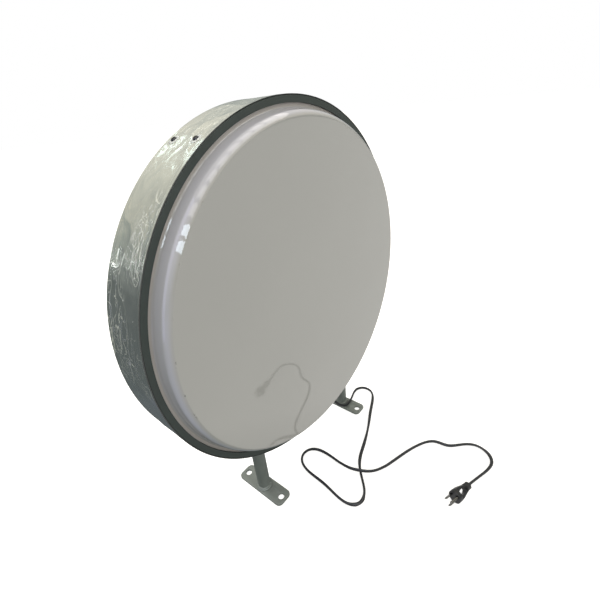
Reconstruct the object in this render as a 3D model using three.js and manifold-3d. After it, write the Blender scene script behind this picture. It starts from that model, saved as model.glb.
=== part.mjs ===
// A round, two-sided light-box sign on two fixed legs, with its mains lead lying on the floor.
// Millimetres. The origin is on the floor under the middle of the casing; +Y runs to the back, +Z is up.
import * as THREE from "three";
import { NURBSCurve } from "three/addons/curves/NURBSCurve.js";
import { mergeVertices } from "three/addons/utils/BufferGeometryUtils.js";
import Module from "manifold-3d";

const wasm = await Module();
wasm.setup();

// ---- Driving dimensions ----

const SEAT = 0.2; // gap between two parallel faces that bear on each other
const FIT = 0.3; // gap round anything that is passed through a hole or cut to a curve
const RIM_SIDES = 72; // flats round the casing and all that is concentric with it

const casing = { diameter: 600, width: 77.4, wall: 1.2, clearanceBelow: 92.7 };
const retainer = { lipWidth: 9.2, thickness: 1.5, skirtDepth: 25, clearance: 0.4 };
const gasket = { thickness: 1.6, width: 5.5 };
const face = {
  wall: 3,
  edgeClearance: 1,
  flangeWidth: 11.9,
  coveRadius: 4,
  slopeWidth: 12, // across the cove, the steep wall and the rounded corner
  cornerRadius: 5,
  rise: 22.5, // from the retainer's lip to the flat
};
const stopRing = { lipWidth: 11.1, thickness: 1.5, depth: 17.3 };
const ringScrew = {
  upperAngles: [119.5, 60.5],
  frontInset: 18.1,
  backInset: 14.2,
  shank: 4,
  head: 7.6,
  headHeight: 2.3,
  reach: 8,
};

const stiffener = { thickness: 3, edgeClearance: 3.5, pastSocket: 21.8 };
const lowerFixing = { pastStiffener: 7.2 }; // degrees from the stiffener to the lower screws and brackets
const panel = { edgeGap: 29.6, thickness: 3, wireHole: 16, wireHoleInset: 74 };
const bracket = { upperAngles: [45, 135], width: 20, thickness: 1.6, skirtGap: 1, overlap: 14 };
const ledBar = {
  width: 20,
  base: 2,
  lens: 12,
  lensHeight: 4,
  lensPitch: 52,
  edgeInset: 27,
  places: [-170, -60, 60, 170],
};
const driver = { length: 88, height: 34, depth: 24, edgeInset: 15, ear: 20, earReach: 8, earThickness: 3 };
const terminal = {
  length: 32,
  height: 18,
  depth: 18,
  barGap: 10,
  edgeInset: 4.4,
  ways: 3,
  way: 6,
  wayDepth: 4,
};

const leg = { spacing: 284, diameter: 25, wall: 2, panelClearance: 2.8 };
const foot = { width: 36, length: 116, thickness: 4, corner: 10, holeSpacing: 92, hole: 12 };
const weld = { width: 4.4, height: 5.6 };
const socket = { wall: 4, tubeStandsProud: 2 };
const legBolt = { diameter: 6, head: 10, headHeight: 4, nutHeight: 5, drop: 12, standsProud: 2 };

const gland = {
  legGap: 58, // from the leg's middle to the gland's, across the sign
  thread: 15.6,
  hex: 22,
  flange: 5,
  bore: 9,
  stub: 14,
  stubLength: 6,
  insideLength: 7,
  locknut: 20,
  locknutHeight: 4,
  dome: 20,
  domeTop: 15,
  domeLength: 15.6,
};
const boot = { neck: 11, root: 13, tip: 9.6, length: 26, bore: 7.6, buried: 9 };
const cord = { diameter: 7, sides: 8, steps: 76 };
const innerLead = { feed: 5, thin: 3.6, corner: 12 };
const earth = { angle: 256, edgeInset: 9, diameter: 5, head: 9, headHeight: 4 };

// The lead's control points, chosen by hand, from the strain relief to the plug.
const cordRoute = [
  [97.3, 0, 59], [100.8, 0, 47], [110, -11, 22], [127, -21, 8.4], [146, -22.4, 7.9],
  [166, -17.5, 8], [183, -10.5, 4.4], [202, -7.6, 3.6], [218, -22, 3.6], [216.5, -46, 3.6],
  [196, -62, 3.6], [153, -77, 3.6], [105, -100, 3.6], [57, -116, 3.6], [16, -126, 3.6],
  [-14, -151, 3.6], [-35, -173, 3.6], [-59, -182, 3.6], [-79, -168, 3.6], [-80, -140, 3.6],
  [-69, -98, 3.6], [-69, -56, 3.6], [-58, -27, 3.6], [-36, -17, 3.6], [-14, -28, 3.6],
  [-8, -56, 3.6], [-12, -94, 3.6], [-15, -124, 7.6], [-9, -148, 13.2], [6, -167, 7],
  [38, -182, 3.6], [88, -197, 3.6], [130, -215, 3.6], [156, -236, 3.6], [152, -265, 3.6],
  [175, -285, 3.6], [193, -308, 3.6], [188, -337, 3.6], [166, -353, 3.6], [136, -346, 3.6],
  [102, -333.4, 7], [83.7, -328.1, 9.2],
];

const plug = {
  faceCentre: [41.6, -316.1, 13.1],
  yaw: 164.1,
  pitch: -5.1,
  roll: -42,
  length: 43.6,
  faceRadius: 12.2,
  faceLength: 9,
  armHalfWidth: 11,
  armThickness: 9,
  armBulge: 1, // how far the arms' curves are drawn out past their half width
  loopWidth: 9.5,
  loopLength: 18,
  loopCentre: -20,
  tailRadius: 7.5,
  tailLength: 10,
  waistHalfWidth: 6.6,
  waistEase: 6, // how far the arms' curves leave the waist straight
};
const pins = {
  bladeWidth: 6.35,
  bladeThickness: 1.5,
  bladeLength: 16.5,
  bladeSpacing: 12.7,
  bladeHole: 3,
  ground: 4.8,
  groundLength: 20.5,
  groundOffset: 11.9,
  buried: 7,
  drop: 4.1, // from the plug's axis to the middle of the blades
};

// ---- Sizes that follow from them ----

const radius = casing.diameter / 2;
const halfWidth = casing.width / 2;
const bandInside = radius - casing.wall;
const retainerOutside = bandInside - retainer.clearance;
const retainerInside = retainerOutside - retainer.thickness;
const retainerLip = retainerOutside - retainer.lipWidth;
const stopOutside = retainerInside - FIT;
const stopInside = stopOutside - stopRing.thickness;
const stopLip = stopOutside - stopRing.lipWidth;
const rimSag = radius * (1 - Math.cos(Math.PI / RIM_SIDES)); // from a round to the middle of its flats
const stiffenerOutside = stopInside - rimSag - SEAT;
const stiffenerInside = stiffenerOutside - stiffener.thickness;
const gasketDepth = retainer.thickness + SEAT;
const flangeDepth = gasketDepth + gasket.thickness + SEAT;
const stopDepth = flangeDepth + face.wall + SEAT;
const stiffenerHalfWidth = halfWidth - stopDepth - stopRing.thickness - stiffener.edgeClearance;
const centreHeight = radius + casing.clearanceBelow;
const panelRadius = stiffenerInside - panel.edgeGap;
const panelFace = panel.thickness / 2 + SEAT;
const wireHoleDrop = panelRadius - panel.wireHoleInset;
const legX = leg.spacing / 2;
const legRadius = leg.diameter / 2;
const legTopInHead = -Math.sqrt(panelRadius ** 2 - (legX - legRadius) ** 2) - leg.panelClearance;
const socketRadius = legRadius + FIT + socket.wall;
const stiffenerReach = legX + socketRadius + stiffener.pastSocket;
const stiffenerAngle = THREE.MathUtils.radToDeg(Math.acos(stiffenerReach / stiffenerOutside));
const lowerAngle = stiffenerAngle - lowerFixing.pastStiffener; // below the level of the middle
const lowerAngles = [180 + lowerAngle, -lowerAngle];
const earthY = stiffenerHalfWidth - earth.edgeInset;
const glandX = legX - gland.legGap;
const glandAngle = -THREE.MathUtils.radToDeg(Math.acos(glandX / radius));
const glandSeat = radius + FIT;
const glandInside = stiffenerInside - gland.insideLength;
const flangeTop = glandSeat + gland.flange;
const domeTop = flangeTop + SEAT + gland.domeLength;
const bootTip = domeTop + SEAT + boot.length;
const driverDrop = dropInside(driver.length / 2, driver.height / 2, driver.edgeInset);
const terminalX = ledBar.places[2] + ledBar.width / 2 + terminal.barGap + terminal.length / 2;
const terminalDrop = dropInside(terminalX + terminal.length / 2, terminal.height / 2, terminal.edgeInset);

// How far below the middle a piece sits so that its outer lower corner keeps an inset from the panel's edge.
function dropInside(cornerX, halfHeight, edgeInset) {
  return Math.sqrt((panelRadius - edgeInset) ** 2 - cornerX ** 2) - halfHeight;
}

// ---- Materials ----

function finish(color, roughness, metalness) {
  return new THREE.MeshStandardMaterial({ color, roughness, metalness });
}

const materials = {
  filmedMetal: finish(0x8c938b, 0.3, 0.8),
  darkPaint: finish(0x4c5453, 0.6, 0.2),
  opalAcrylic: finish(0xdadad6, 0.15, 0),
  foam: finish(0x1c1d1e, 0.95, 0),
  greyPaint: finish(0x9aa19e, 0.45, 0.1),
  steel: finish(0xa9acab, 0.35, 1),
  whitePanel: finish(0xe8e8e4, 0.6, 0),
  ledBoard: finish(0xf0f0ea, 0.5, 0),
  aluminium: finish(0xb6b9ba, 0.4, 0.9),
  nylon: finish(0x1a1b1c, 0.6, 0),
  blackPvc: finish(0x141618, 0.5, 0),
  earthWire: finish(0x4f8a3c, 0.5, 0),
};

// ---- Geometry helpers ----

const degrees = THREE.MathUtils.degToRad;

function solidOf(geometry) {
  const loose = geometry.index ? geometry.toNonIndexed() : geometry;
  const bare = new THREE.BufferGeometry();
  bare.setAttribute("position", loose.getAttribute("position"));
  const merged = mergeVertices(bare, 1e-3);
  const triVerts = new Uint32Array(merged.index.array);
  const build = () => {
    const mesh = new wasm.Mesh({ numProp: 3, vertProperties: merged.attributes.position.array, triVerts });
    return new wasm.Manifold(mesh);
  };
  const made = build();
  if (made.volume() >= 0) return made;
  for (let i = 0; i < triVerts.length; i += 3) {
    [triVerts[i + 1], triVerts[i + 2]] = [triVerts[i + 2], triVerts[i + 1]];
  }
  return build();
}

function geometryOf(solid) {
  const mesh = solid.getMesh();
  const geometry = new THREE.BufferGeometry();
  const corners = new Float32Array(mesh.vertProperties);
  geometry.setAttribute("position", new THREE.BufferAttribute(corners, mesh.numProp));
  geometry.setIndex(new THREE.BufferAttribute(new Uint32Array(mesh.triVerts), 1));
  geometry.computeVertexNormals();
  return geometry;
}

const outward = (geometry) => geometryOf(solidOf(geometry));

function cut(base, ...tools) {
  const start = solidOf(base);
  return geometryOf(tools.reduce((solid, tool) => solid.subtract(solidOf(tool)), start));
}

function join(first, ...others) {
  const start = solidOf(first);
  return geometryOf(others.reduce((solid, other) => solid.add(solidOf(other)), start));
}

function common(first, second) {
  return geometryOf(solidOf(first).intersect(solidOf(second)));
}

// A ring round the Y axis: profile holds [radius, y] corners of its closed section.
function ringOf(profile, sides = RIM_SIDES) {
  const corners = [...profile, profile[0]].map(([r, y]) => new THREE.Vector2(r, y));
  return outward(new THREE.LatheGeometry(corners, sides));
}

// A turned solid on the Y axis: its profile starts and ends on the axis.
function turned(profile, sides = RIM_SIDES) {
  const corners = profile.map(([r, y]) => new THREE.Vector2(r, y));
  return outward(new THREE.LatheGeometry(corners, sides));
}

// The same ring section on the front (side -1) or the back (side 1): [radius, depth in from the rim].
const fromRim = (side, profile) => profile.map(([r, depth]) => [r, side * (halfWidth - depth)]);

// A cylinder or prism along the Z axis, from z0 to z1.
function post(diameter, z0, z1, sides = 24) {
  const geometry = new THREE.CylinderGeometry(diameter / 2, diameter / 2, z1 - z0, sides);
  return geometry.rotateX(Math.PI / 2).translate(0, 0, (z0 + z1) / 2);
}

// A hexagonal prism along the Z axis, sized across its flats.
const hexagon = (acrossFlats, z0, z1) => post(acrossFlats / Math.cos(Math.PI / 6), z0, z1, 6);

// A turned ring along the Z axis: profile holds [radius, z].
const sleeve = (profile, sides = 24) => ringOf(profile, sides).rotateX(Math.PI / 2);

// A box between two corners.
function block(x0, x1, y0, y1, z0, z1) {
  const geometry = new THREE.BoxGeometry(x1 - x0, y1 - y0, z1 - z0);
  return geometry.translate((x0 + x1) / 2, (y0 + y1) / 2, (z0 + z1) / 2);
}

// A curved plate round the Y axis, between two radii and two angles, from y0 to y1.
function curvedPlate(inner, outer, from, to, y0, y1) {
  const outline = new THREE.Shape();
  outline.absarc(0, 0, outer, degrees(from), degrees(to), false);
  outline.absarc(0, 0, inner, degrees(to), degrees(from), true);
  const curveSegments = Math.ceil((to - from) / (360 / RIM_SIDES));
  const geometry = new THREE.ExtrudeGeometry(outline, { depth: y1 - y0, bevelEnabled: false, curveSegments });
  return outward(geometry.rotateX(Math.PI / 2).translate(0, y1, 0));
}

// Turns a piece whose own +Z points outwards to an angle round the casing.
function roundTheCasing(angle, y = 0) {
  const turn = new THREE.Matrix4().makeRotationY(degrees(90 - angle));
  return new THREE.Matrix4().makeTranslation(0, y, 0).multiply(turn);
}

// A round lead through hand-chosen control points.
function leadAlong(route, diameter, sides, steps) {
  const degree = Math.min(3, route.length - 1);
  const spans = route.length - degree;
  const knots = [...Array(degree).fill(0), ...Array(spans + 1).keys(), ...Array(degree).fill(spans)];
  const points = route.map(([x, y, z]) => new THREE.Vector4(x, y, z, 1));
  const extrudePath = new NURBSCurve(degree, knots, points);
  const section = new THREE.Shape();
  for (let i = 0; i < sides; i += 1) {
    const turn = (2 * Math.PI * i) / sides;
    const corner = [(diameter / 2) * Math.cos(turn), (diameter / 2) * Math.sin(turn)];
    if (i === 0) section.moveTo(...corner);
    else section.lineTo(...corner);
  }
  return outward(new THREE.ExtrudeGeometry(section, { steps, extrudePath, bevelEnabled: false }));
}

// ---- The scene graph ----

const sign = new THREE.Group();
const head = new THREE.Group(); // everything that is placed from the middle of the casing
head.position.z = centreHeight;
sign.add(head);

function add(parent, name, geometry, material) {
  const mesh = new THREE.Mesh(geometry, material);
  mesh.name = name;
  parent.add(mesh);
  return mesh;
}

const sides = [
  { name: "front", sign: -1, screwInset: ringScrew.frontInset },
  { name: "back", sign: 1, screwInset: ringScrew.backInset },
];
const legs = [
  { name: "left", x: -legX },
  { name: "right", x: legX },
];

const screwAngles = [...ringScrew.upperAngles, ...lowerAngles];

// A hole for a ring screw, through everything at the rim.
function ringScrewHoles(side) {
  const hole = () => post(ringScrew.shank + 2 * FIT, stopInside - 10, radius + 10, 12);
  const y = side.sign * (halfWidth - side.screwInset);
  return screwAngles.map((angle) => hole().applyMatrix4(roundTheCasing(angle, y)));
}

function legHoles() {
  return legs.map(({ x }) => post(leg.diameter + 2 * FIT, -radius - 10, -radius / 2, 32).translate(x, 0, 0));
}

function glandHole() {
  const hole = post(gland.thread + 2 * FIT, radius - 40, radius + 10);
  return hole.applyMatrix4(roundTheCasing(glandAngle));
}

// Every hole that is made through the band and through any ring skirt behind it.
const rimHoles = () => [...sides.flatMap(ringScrewHoles), ...legHoles(), glandHole()];

function buildCasingBand() {
  const band = ringOf([
    [radius, -halfWidth],
    [radius, halfWidth],
    [bandInside, halfWidth],
    [bandInside, -halfWidth],
  ]);
  add(head, "casing_band", cut(band, ...rimHoles()), materials.filmedMetal);
}

function buildRetainer(side) {
  const lip = retainer.thickness;
  const section = [
    [retainerLip, 0],
    [retainerOutside, 0],
    [retainerOutside, retainer.skirtDepth],
    [retainerInside, retainer.skirtDepth],
    [retainerInside, lip],
    [retainerLip, lip],
  ];
  const ring = cut(ringOf(fromRim(side.sign, section)), ...rimHoles());
  add(head, `${side.name}_retaining_ring`, ring, materials.darkPaint);
}

function buildGasket(side) {
  const inner = retainerLip + FIT;
  const outer = inner + gasket.width;
  const section = [
    [inner, gasketDepth],
    [outer, gasketDepth],
    [outer, gasketDepth + gasket.thickness],
    [inner, gasketDepth + gasket.thickness],
  ];
  add(head, `${side.name}_gasket`, ringOf(fromRim(side.sign, section)), materials.foam);
}

// Quarter-round points on an arc, from one angle to another, as [radius, depth].
function arcPoints(r, depth, arcRadius, from, to, count) {
  return Array.from({ length: count + 1 }, (_, i) => {
    const turn = degrees(from + ((to - from) * i) / count);
    return [r + arcRadius * Math.cos(turn), depth - arcRadius * Math.sin(turn)];
  });
}

// A pan-shaped sheet: flat middle, rounded corner, steep wall, cove and clamped flange.
function buildFace(side) {
  const flangeEdge = retainerInside - face.edgeClearance;
  const flangeInner = flangeEdge - face.flangeWidth;
  const flatRadius = flangeInner - face.slopeWidth;
  const cornerCentre = -face.rise + face.cornerRadius;
  const coveCentre = flangeDepth - face.coveRadius;
  const under = face.cornerRadius - face.wall;
  const underCove = face.coveRadius + face.wall;
  const outside = [
    [0, -face.rise],
    ...arcPoints(flatRadius, cornerCentre, face.cornerRadius, 90, 8, 3),
    ...arcPoints(flangeInner, coveCentre, face.coveRadius, 188, 270, 2),
    [flangeEdge, flangeDepth],
  ];
  const inside = [
    [flangeEdge, flangeDepth + face.wall],
    ...arcPoints(flangeInner, coveCentre, underCove, 270, 188, 2),
    ...arcPoints(flatRadius, cornerCentre, under, 8, 90, 2),
    [0, -face.rise + face.wall],
  ];
  const sheet = turned(fromRim(side.sign, [...outside, ...inside]));
  add(head, `${side.name}_face`, sheet, materials.opalAcrylic);
}

function buildStopRing(side) {
  const section = [
    [stopLip, stopDepth],
    [stopOutside, stopDepth],
    [stopOutside, stopDepth + stopRing.depth],
    [stopInside, stopDepth + stopRing.depth],
    [stopInside, stopDepth + stopRing.thickness],
    [stopLip, stopDepth + stopRing.thickness],
  ];
  const ring = cut(ringOf(fromRim(side.sign, section)), ...rimHoles());
  add(head, `${side.name}_stop_ring`, ring, materials.aluminium);
}

function buildRingScrews(side) {
  const y = side.sign * (halfWidth - side.screwInset);
  const seat = radius + SEAT;
  const headRadius = ringScrew.head / 2;
  const tip = radius - ringScrew.reach;
  const outline = [
    [0, tip],
    [ringScrew.shank / 2, tip],
    [ringScrew.shank / 2, seat],
    [headRadius, seat],
    [headRadius, seat + ringScrew.headHeight * 0.5],
    [headRadius * 0.65, seat + ringScrew.headHeight],
    [0, seat + ringScrew.headHeight],
  ];
  screwAngles.forEach((angle, i) => {
    const screw = turned(outline, 12).rotateX(Math.PI / 2);
    const mesh = add(head, `${side.name}_ring_screw_${i + 1}`, screw, materials.steel);
    mesh.applyMatrix4(roundTheCasing(angle, y));
  });
}

function buildStiffener() {
  const half = stiffenerHalfWidth;
  const [from, to] = [180 + stiffenerAngle, 360 - stiffenerAngle];
  const plate = curvedPlate(stiffenerInside, stiffenerOutside, from, to, -half, half);
  const stud = post(earth.diameter + 2 * FIT, stiffenerInside - 5, stiffenerOutside + 2, 12);
  stud.applyMatrix4(roundTheCasing(earth.angle, earthY));
  add(head, "base_stiffener", cut(plate, ...legHoles(), glandHole(), stud), materials.steel);
}

function buildPanel() {
  const half = panel.thickness / 2;
  const disc = turned([
    [0, -half],
    [panelRadius, -half],
    [panelRadius, half],
    [0, half],
  ]);
  const hole = post(panel.wireHole, -5, 5).rotateX(Math.PI / 2).translate(0, 0, -wireHoleDrop);
  add(head, "led_panel", cut(disc, hole), materials.whitePanel);
}

function buildPanelBrackets() {
  const half = bracket.width / 2;
  const top = bandInside - FIT;
  const foot = panelRadius - bracket.overlap;
  const { thickness, skirtGap } = bracket;
  const tabEnd = halfWidth - retainer.skirtDepth - skirtGap;
  // The outer edge is relieved, because a flat bracket meets the round band at its two ends.
  const seat = top - (half * half) / (2 * bandInside) - FIT;
  [...bracket.upperAngles, ...lowerAngles].forEach((angle, i) => {
    const arm = block(-half, half, panelFace, panelFace + thickness, foot, seat);
    const tab = block(-half, half, panelFace, tabEnd, seat - thickness, seat);
    const mesh = add(head, `panel_bracket_${i + 1}`, join(arm, tab), materials.aluminium);
    mesh.applyMatrix4(roundTheCasing(angle));
  });
}

function buildLedBars(side) {
  const y0 = side.sign * panelFace;
  const y1 = side.sign * (panelFace + ledBar.base);
  const y2 = side.sign * (panelFace + ledBar.base + ledBar.lensHeight);
  const low = Math.min(y0, y1);
  const high = Math.max(y0, y1);
  ledBar.places.forEach((x, i) => {
    const half = Math.sqrt((panelRadius - ledBar.edgeInset) ** 2 - x ** 2);
    const base = block(-ledBar.width / 2, ledBar.width / 2, low, high, -half, half);
    const count = Math.floor((2 * half - ledBar.lens) / ledBar.lensPitch) + 1;
    const lenses = Array.from({ length: count }, (_, k) => {
      const z = (k - (count - 1) / 2) * ledBar.lensPitch;
      const reach = ledBar.lens / 2;
      return block(-reach, reach, Math.min(y0, y2), Math.max(y0, y2), z - reach, z + reach);
    });
    add(head, `${side.name}_led_bar_${i + 1}`, join(base, ...lenses), materials.ledBoard).position.x = x;
  });
}

function buildDriver() {
  const half = driver.length / 2;
  const tall = driver.height / 2;
  const box = block(-half, half, panelFace, panelFace + driver.depth, -tall, tall);
  const ear = driver.ear / 2;
  const reach = tall + driver.earReach;
  const ears = block(-ear, ear, panelFace, panelFace + driver.earThickness, -reach, reach);
  add(head, "led_driver", join(box, ears), materials.aluminium).position.z = -driverDrop;
}

function buildTerminalBlock() {
  const half = terminal.length / 2;
  const tall = terminal.height / 2;
  const back = panelFace + terminal.depth;
  const box = block(-half, half, panelFace, back, -tall, tall);
  const pitch = terminal.length / terminal.ways;
  const wells = Array.from({ length: terminal.ways }, (_, i) => {
    const x = (i - (terminal.ways - 1) / 2) * pitch;
    const well = post(terminal.way, -terminal.wayDepth, terminal.wayDepth, 12);
    return well.rotateX(Math.PI / 2).translate(x, back, 0);
  });
  const mesh = add(head, "terminal_block", cut(box, ...wells), materials.whitePanel);
  mesh.position.set(terminalX, 0, -terminalDrop);
}

// The leads inside the casing run between the pieces that they join, at mid-depth of those pieces.
function buildInnerLeads() {
  const { feed: feedSize, thin, corner } = innerLead;
  const pitch = terminal.length / terminal.ways;
  const blockTop = -terminalDrop + terminal.height / 2 + FIT;
  const blockFoot = -terminalDrop - terminal.height / 2 - FIT;
  const driverEnd = driver.length / 2 + FIT;
  const lift = panelFace + driver.depth / 2;
  const middle = panelFace + terminal.depth / 2;
  const [gx, gz] = [Math.cos(degrees(glandAngle)), Math.sin(degrees(glandAngle))];
  const onTheGland = (distance) => [distance * gx, 0, distance * gz];
  const mains = [
    onTheGland(bootTip),
    onTheGland(flangeTop),
    onTheGland(glandSeat),
    onTheGland(glandInside),
    onTheGland(glandInside - corner / 2),
    [terminalX - pitch, middle, blockFoot - corner],
    [terminalX - pitch, middle, blockFoot - corner / 3],
    [terminalX - pitch, middle, blockFoot],
  ];
  const feed = [
    [terminalX - pitch, middle, blockTop],
    [terminalX - pitch, middle, blockTop + corner],
    [driverEnd + 2 * corner, lift, -driverDrop + corner],
    [driverEnd + corner, lift, -driverDrop],
    [driverEnd, lift, -driverDrop],
  ];
  const barEdge = ledBar.places[2] - ledBar.width / 2 - FIT;
  const low = panelFace + thin / 2;
  const supply = [
    [-driverEnd, lift, -driverDrop],
    [-driverEnd - corner, lift, -driverDrop],
    [-driverEnd - corner, lift, -driverDrop + 2 * corner],
    [-corner, lift, -wireHoleDrop],
    [0, low + thin, -wireHoleDrop],
    [0, -low - thin, -wireHoleDrop],
    [2 * corner, -low, -wireHoleDrop],
    [barEdge, -low, -wireHoleDrop],
  ];
  add(head, "mains_inner_lead", leadAlong(mains, cord.diameter, 8, 14), materials.blackPvc);
  add(head, "driver_feed_lead", leadAlong(feed, feedSize, 8, 12), materials.blackPvc);
  add(head, "led_supply_lead", leadAlong(supply, thin, 8, 20), materials.blackPvc);
}

function buildEarth() {
  const seat = stiffenerInside - SEAT;
  const screw = turned([
    [0, -stiffenerOutside],
    [earth.diameter / 2, -stiffenerOutside],
    [earth.diameter / 2, -seat],
    [earth.head / 2, -seat],
    [earth.head / 2, -seat + earth.headHeight],
    [0, -seat + earth.headHeight],
  ], 12);
  const place = roundTheCasing(earth.angle, earthY);
  add(head, "earth_screw", screw.rotateX(-Math.PI / 2), materials.steel).applyMatrix4(place);
  const top = seat - earth.headHeight - FIT;
  const [ex, ez] = [Math.cos(degrees(earth.angle)), Math.sin(degrees(earth.angle))];
  const middle = panelFace + terminal.depth / 2;
  const wayX = terminalX + terminal.length / terminal.ways;
  const blockFoot = -terminalDrop - terminal.height / 2 - FIT;
  const { thin, corner } = innerLead;
  const overTheMains = middle + cord.diameter + thin;
  const route = [
    [top * ex, earthY, top * ez],
    [(top - corner) * ex, earthY, (top - corner) * ez],
    [terminalX / 3, overTheMains, blockFoot - 2 * corner],
    [terminalX, overTheMains, blockFoot - corner],
    [wayX, middle, blockFoot - corner],
    [wayX, middle, blockFoot],
  ];
  add(head, "earth_lead", leadAlong(route, thin, 8, 18), materials.earthWire);
}

// A leg runs from its foot plate, through the band, into a bored socket that is bolted across it.
function buildLeg({ name, x }) {
  const top = centreHeight + legTopInHead;
  const foundation = foot.thickness + SEAT;
  const boltHeight = top - legBolt.drop;
  const half = legRadius;
  const boltHole = (z) => {
    const hole = post(legBolt.diameter + 2 * FIT, -2 * leg.diameter, 2 * leg.diameter, 16);
    return hole.rotateX(Math.PI / 2).translate(0, 0, z);
  };
  const tube = sleeve([
    [half, -foundation],
    [half, -top],
    [half - leg.wall, -top],
    [half - leg.wall, -foundation],
  ], 32).rotateX(Math.PI);
  add(sign, `${name}_leg_tube`, cut(tube, boltHole(boltHeight)), materials.greyPaint).position.x = x;

  const bead = sleeve([
    [half + FIT, -foundation],
    [half + weld.width, -foundation],
    [half + weld.width * 0.92, -foundation - weld.height * 0.45],
    [half + weld.width * 0.6, -foundation - weld.height * 0.85],
    [half + FIT, -foundation - weld.height],
  ], 32).rotateX(Math.PI);
  add(sign, `${name}_foot_weld`, bead, materials.greyPaint).position.x = x;

  const bore = leg.diameter + 2 * FIT;
  const socketTop = top - socket.tubeStandsProud - centreHeight;
  const blank = cut(post(2 * socketRadius, -radius, socketTop, 32), post(bore, -radius - 1, 0, 32));
  const depth = 2 * socketRadius;
  const inside = post(2 * (stiffenerInside - FIT), -depth, depth, RIM_SIDES).rotateX(Math.PI / 2);
  const seated = common(blank.translate(x, 0, 0), inside.rotateY(Math.PI / RIM_SIDES));
  const inTheHead = boltHeight - centreHeight;
  const bolted = cut(seated, boltHole(inTheHead).translate(x, 0, 0));
  add(head, `${name}_leg_socket`, bolted, materials.steel);

  const reach = socketRadius + SEAT;
  const nutEnd = reach + legBolt.nutHeight;
  const shank = post(legBolt.diameter, -reach - 1, nutEnd + legBolt.standsProud, 12);
  const bolt = join(shank, hexagon(legBolt.head, -reach - legBolt.headHeight, -reach));
  const nutHole = post(legBolt.diameter + 2 * FIT, 0, nutEnd + 1, 12);
  const nut = cut(hexagon(legBolt.head, reach, nutEnd), nutHole);
  const across = (suffix, geometry) => {
    const mesh = add(head, `${name}_leg_${suffix}`, geometry.rotateX(-Math.PI / 2), materials.steel);
    mesh.position.set(x, 0, inTheHead);
  };
  across("bolt", bolt);
  across("nut", nut);
}

function buildFootPlate({ name, x }) {
  const [w, l, r] = [foot.width / 2, foot.length / 2, foot.corner];
  const outline = new THREE.Shape();
  outline.absarc(w - r, l - r, r, 0, Math.PI / 2, false);
  outline.absarc(r - w, l - r, r, Math.PI / 2, Math.PI, false);
  outline.absarc(r - w, r - l, r, Math.PI, 1.5 * Math.PI, false);
  outline.absarc(w - r, r - l, r, 1.5 * Math.PI, 2 * Math.PI, false);
  for (const end of [-1, 1]) {
    const hole = new THREE.Path();
    hole.absarc(0, (end * foot.holeSpacing) / 2, foot.hole / 2, 0, 2 * Math.PI, true);
    outline.holes.push(hole);
  }
  const extrusion = { depth: foot.thickness, bevelEnabled: false, curveSegments: 8 };
  const plate = new THREE.ExtrudeGeometry(outline, extrusion);
  add(sign, `${name}_foot_plate`, outward(plate), materials.greyPaint).position.x = x;
}

// The gland, its nuts and the strain relief stand on an axis that points out of the casing.
function buildGland() {
  const place = roundTheCasing(glandAngle);
  const put = (name, geometry, material) => add(head, name, geometry, material).applyMatrix4(place);
  const upright = (profile) => sleeve(profile.map(([r, z]) => [r, -z])).rotateX(Math.PI);
  const stubTop = flangeTop + gland.stubLength;
  const body = join(
    post(gland.thread, glandInside, glandSeat + 1),
    hexagon(gland.hex, glandSeat, flangeTop),
    post(gland.stub, flangeTop - 1, stubTop),
  );
  put("gland_body", cut(body, post(gland.bore, glandInside - 1, stubTop + 1, 16)), materials.nylon);

  const nutTop = stiffenerInside - FIT - SEAT;
  const locknut = hexagon(gland.locknut, nutTop - gland.locknutHeight, nutTop);
  const thread = post(gland.thread + 2 * FIT, glandInside - 1, radius);
  put("gland_locknut", cut(locknut, thread), materials.nylon);

  const domeFoot = flangeTop + SEAT;
  const neckHole = boot.neck / 2 + FIT;
  const dome = upright([
    [gland.stub / 2 + FIT, domeFoot],
    [gland.dome / 2, domeFoot],
    [gland.dome / 2, domeFoot + gland.domeLength * 0.6],
    [gland.domeTop / 2, domeTop],
    [neckHole, domeTop],
    [neckHole, stubTop + FIT],
    [gland.stub / 2 + FIT, stubTop + FIT],
  ]);
  put("gland_dome_nut", dome, materials.nylon);

  const shoulder = domeTop + SEAT;
  const relief = upright([
    [boot.bore / 2, domeTop - boot.buried],
    [boot.neck / 2, domeTop - boot.buried],
    [boot.neck / 2, shoulder],
    [boot.root / 2, shoulder],
    [boot.tip / 2, bootTip],
    [boot.bore / 2, bootTip],
  ]);
  put("cord_boot", relief, materials.blackPvc);
}

function buildCord() {
  add(sign, "power_cord", leadAlong(cordRoute, cord.diameter, cord.sides, cord.steps), materials.blackPvc);
}

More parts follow.
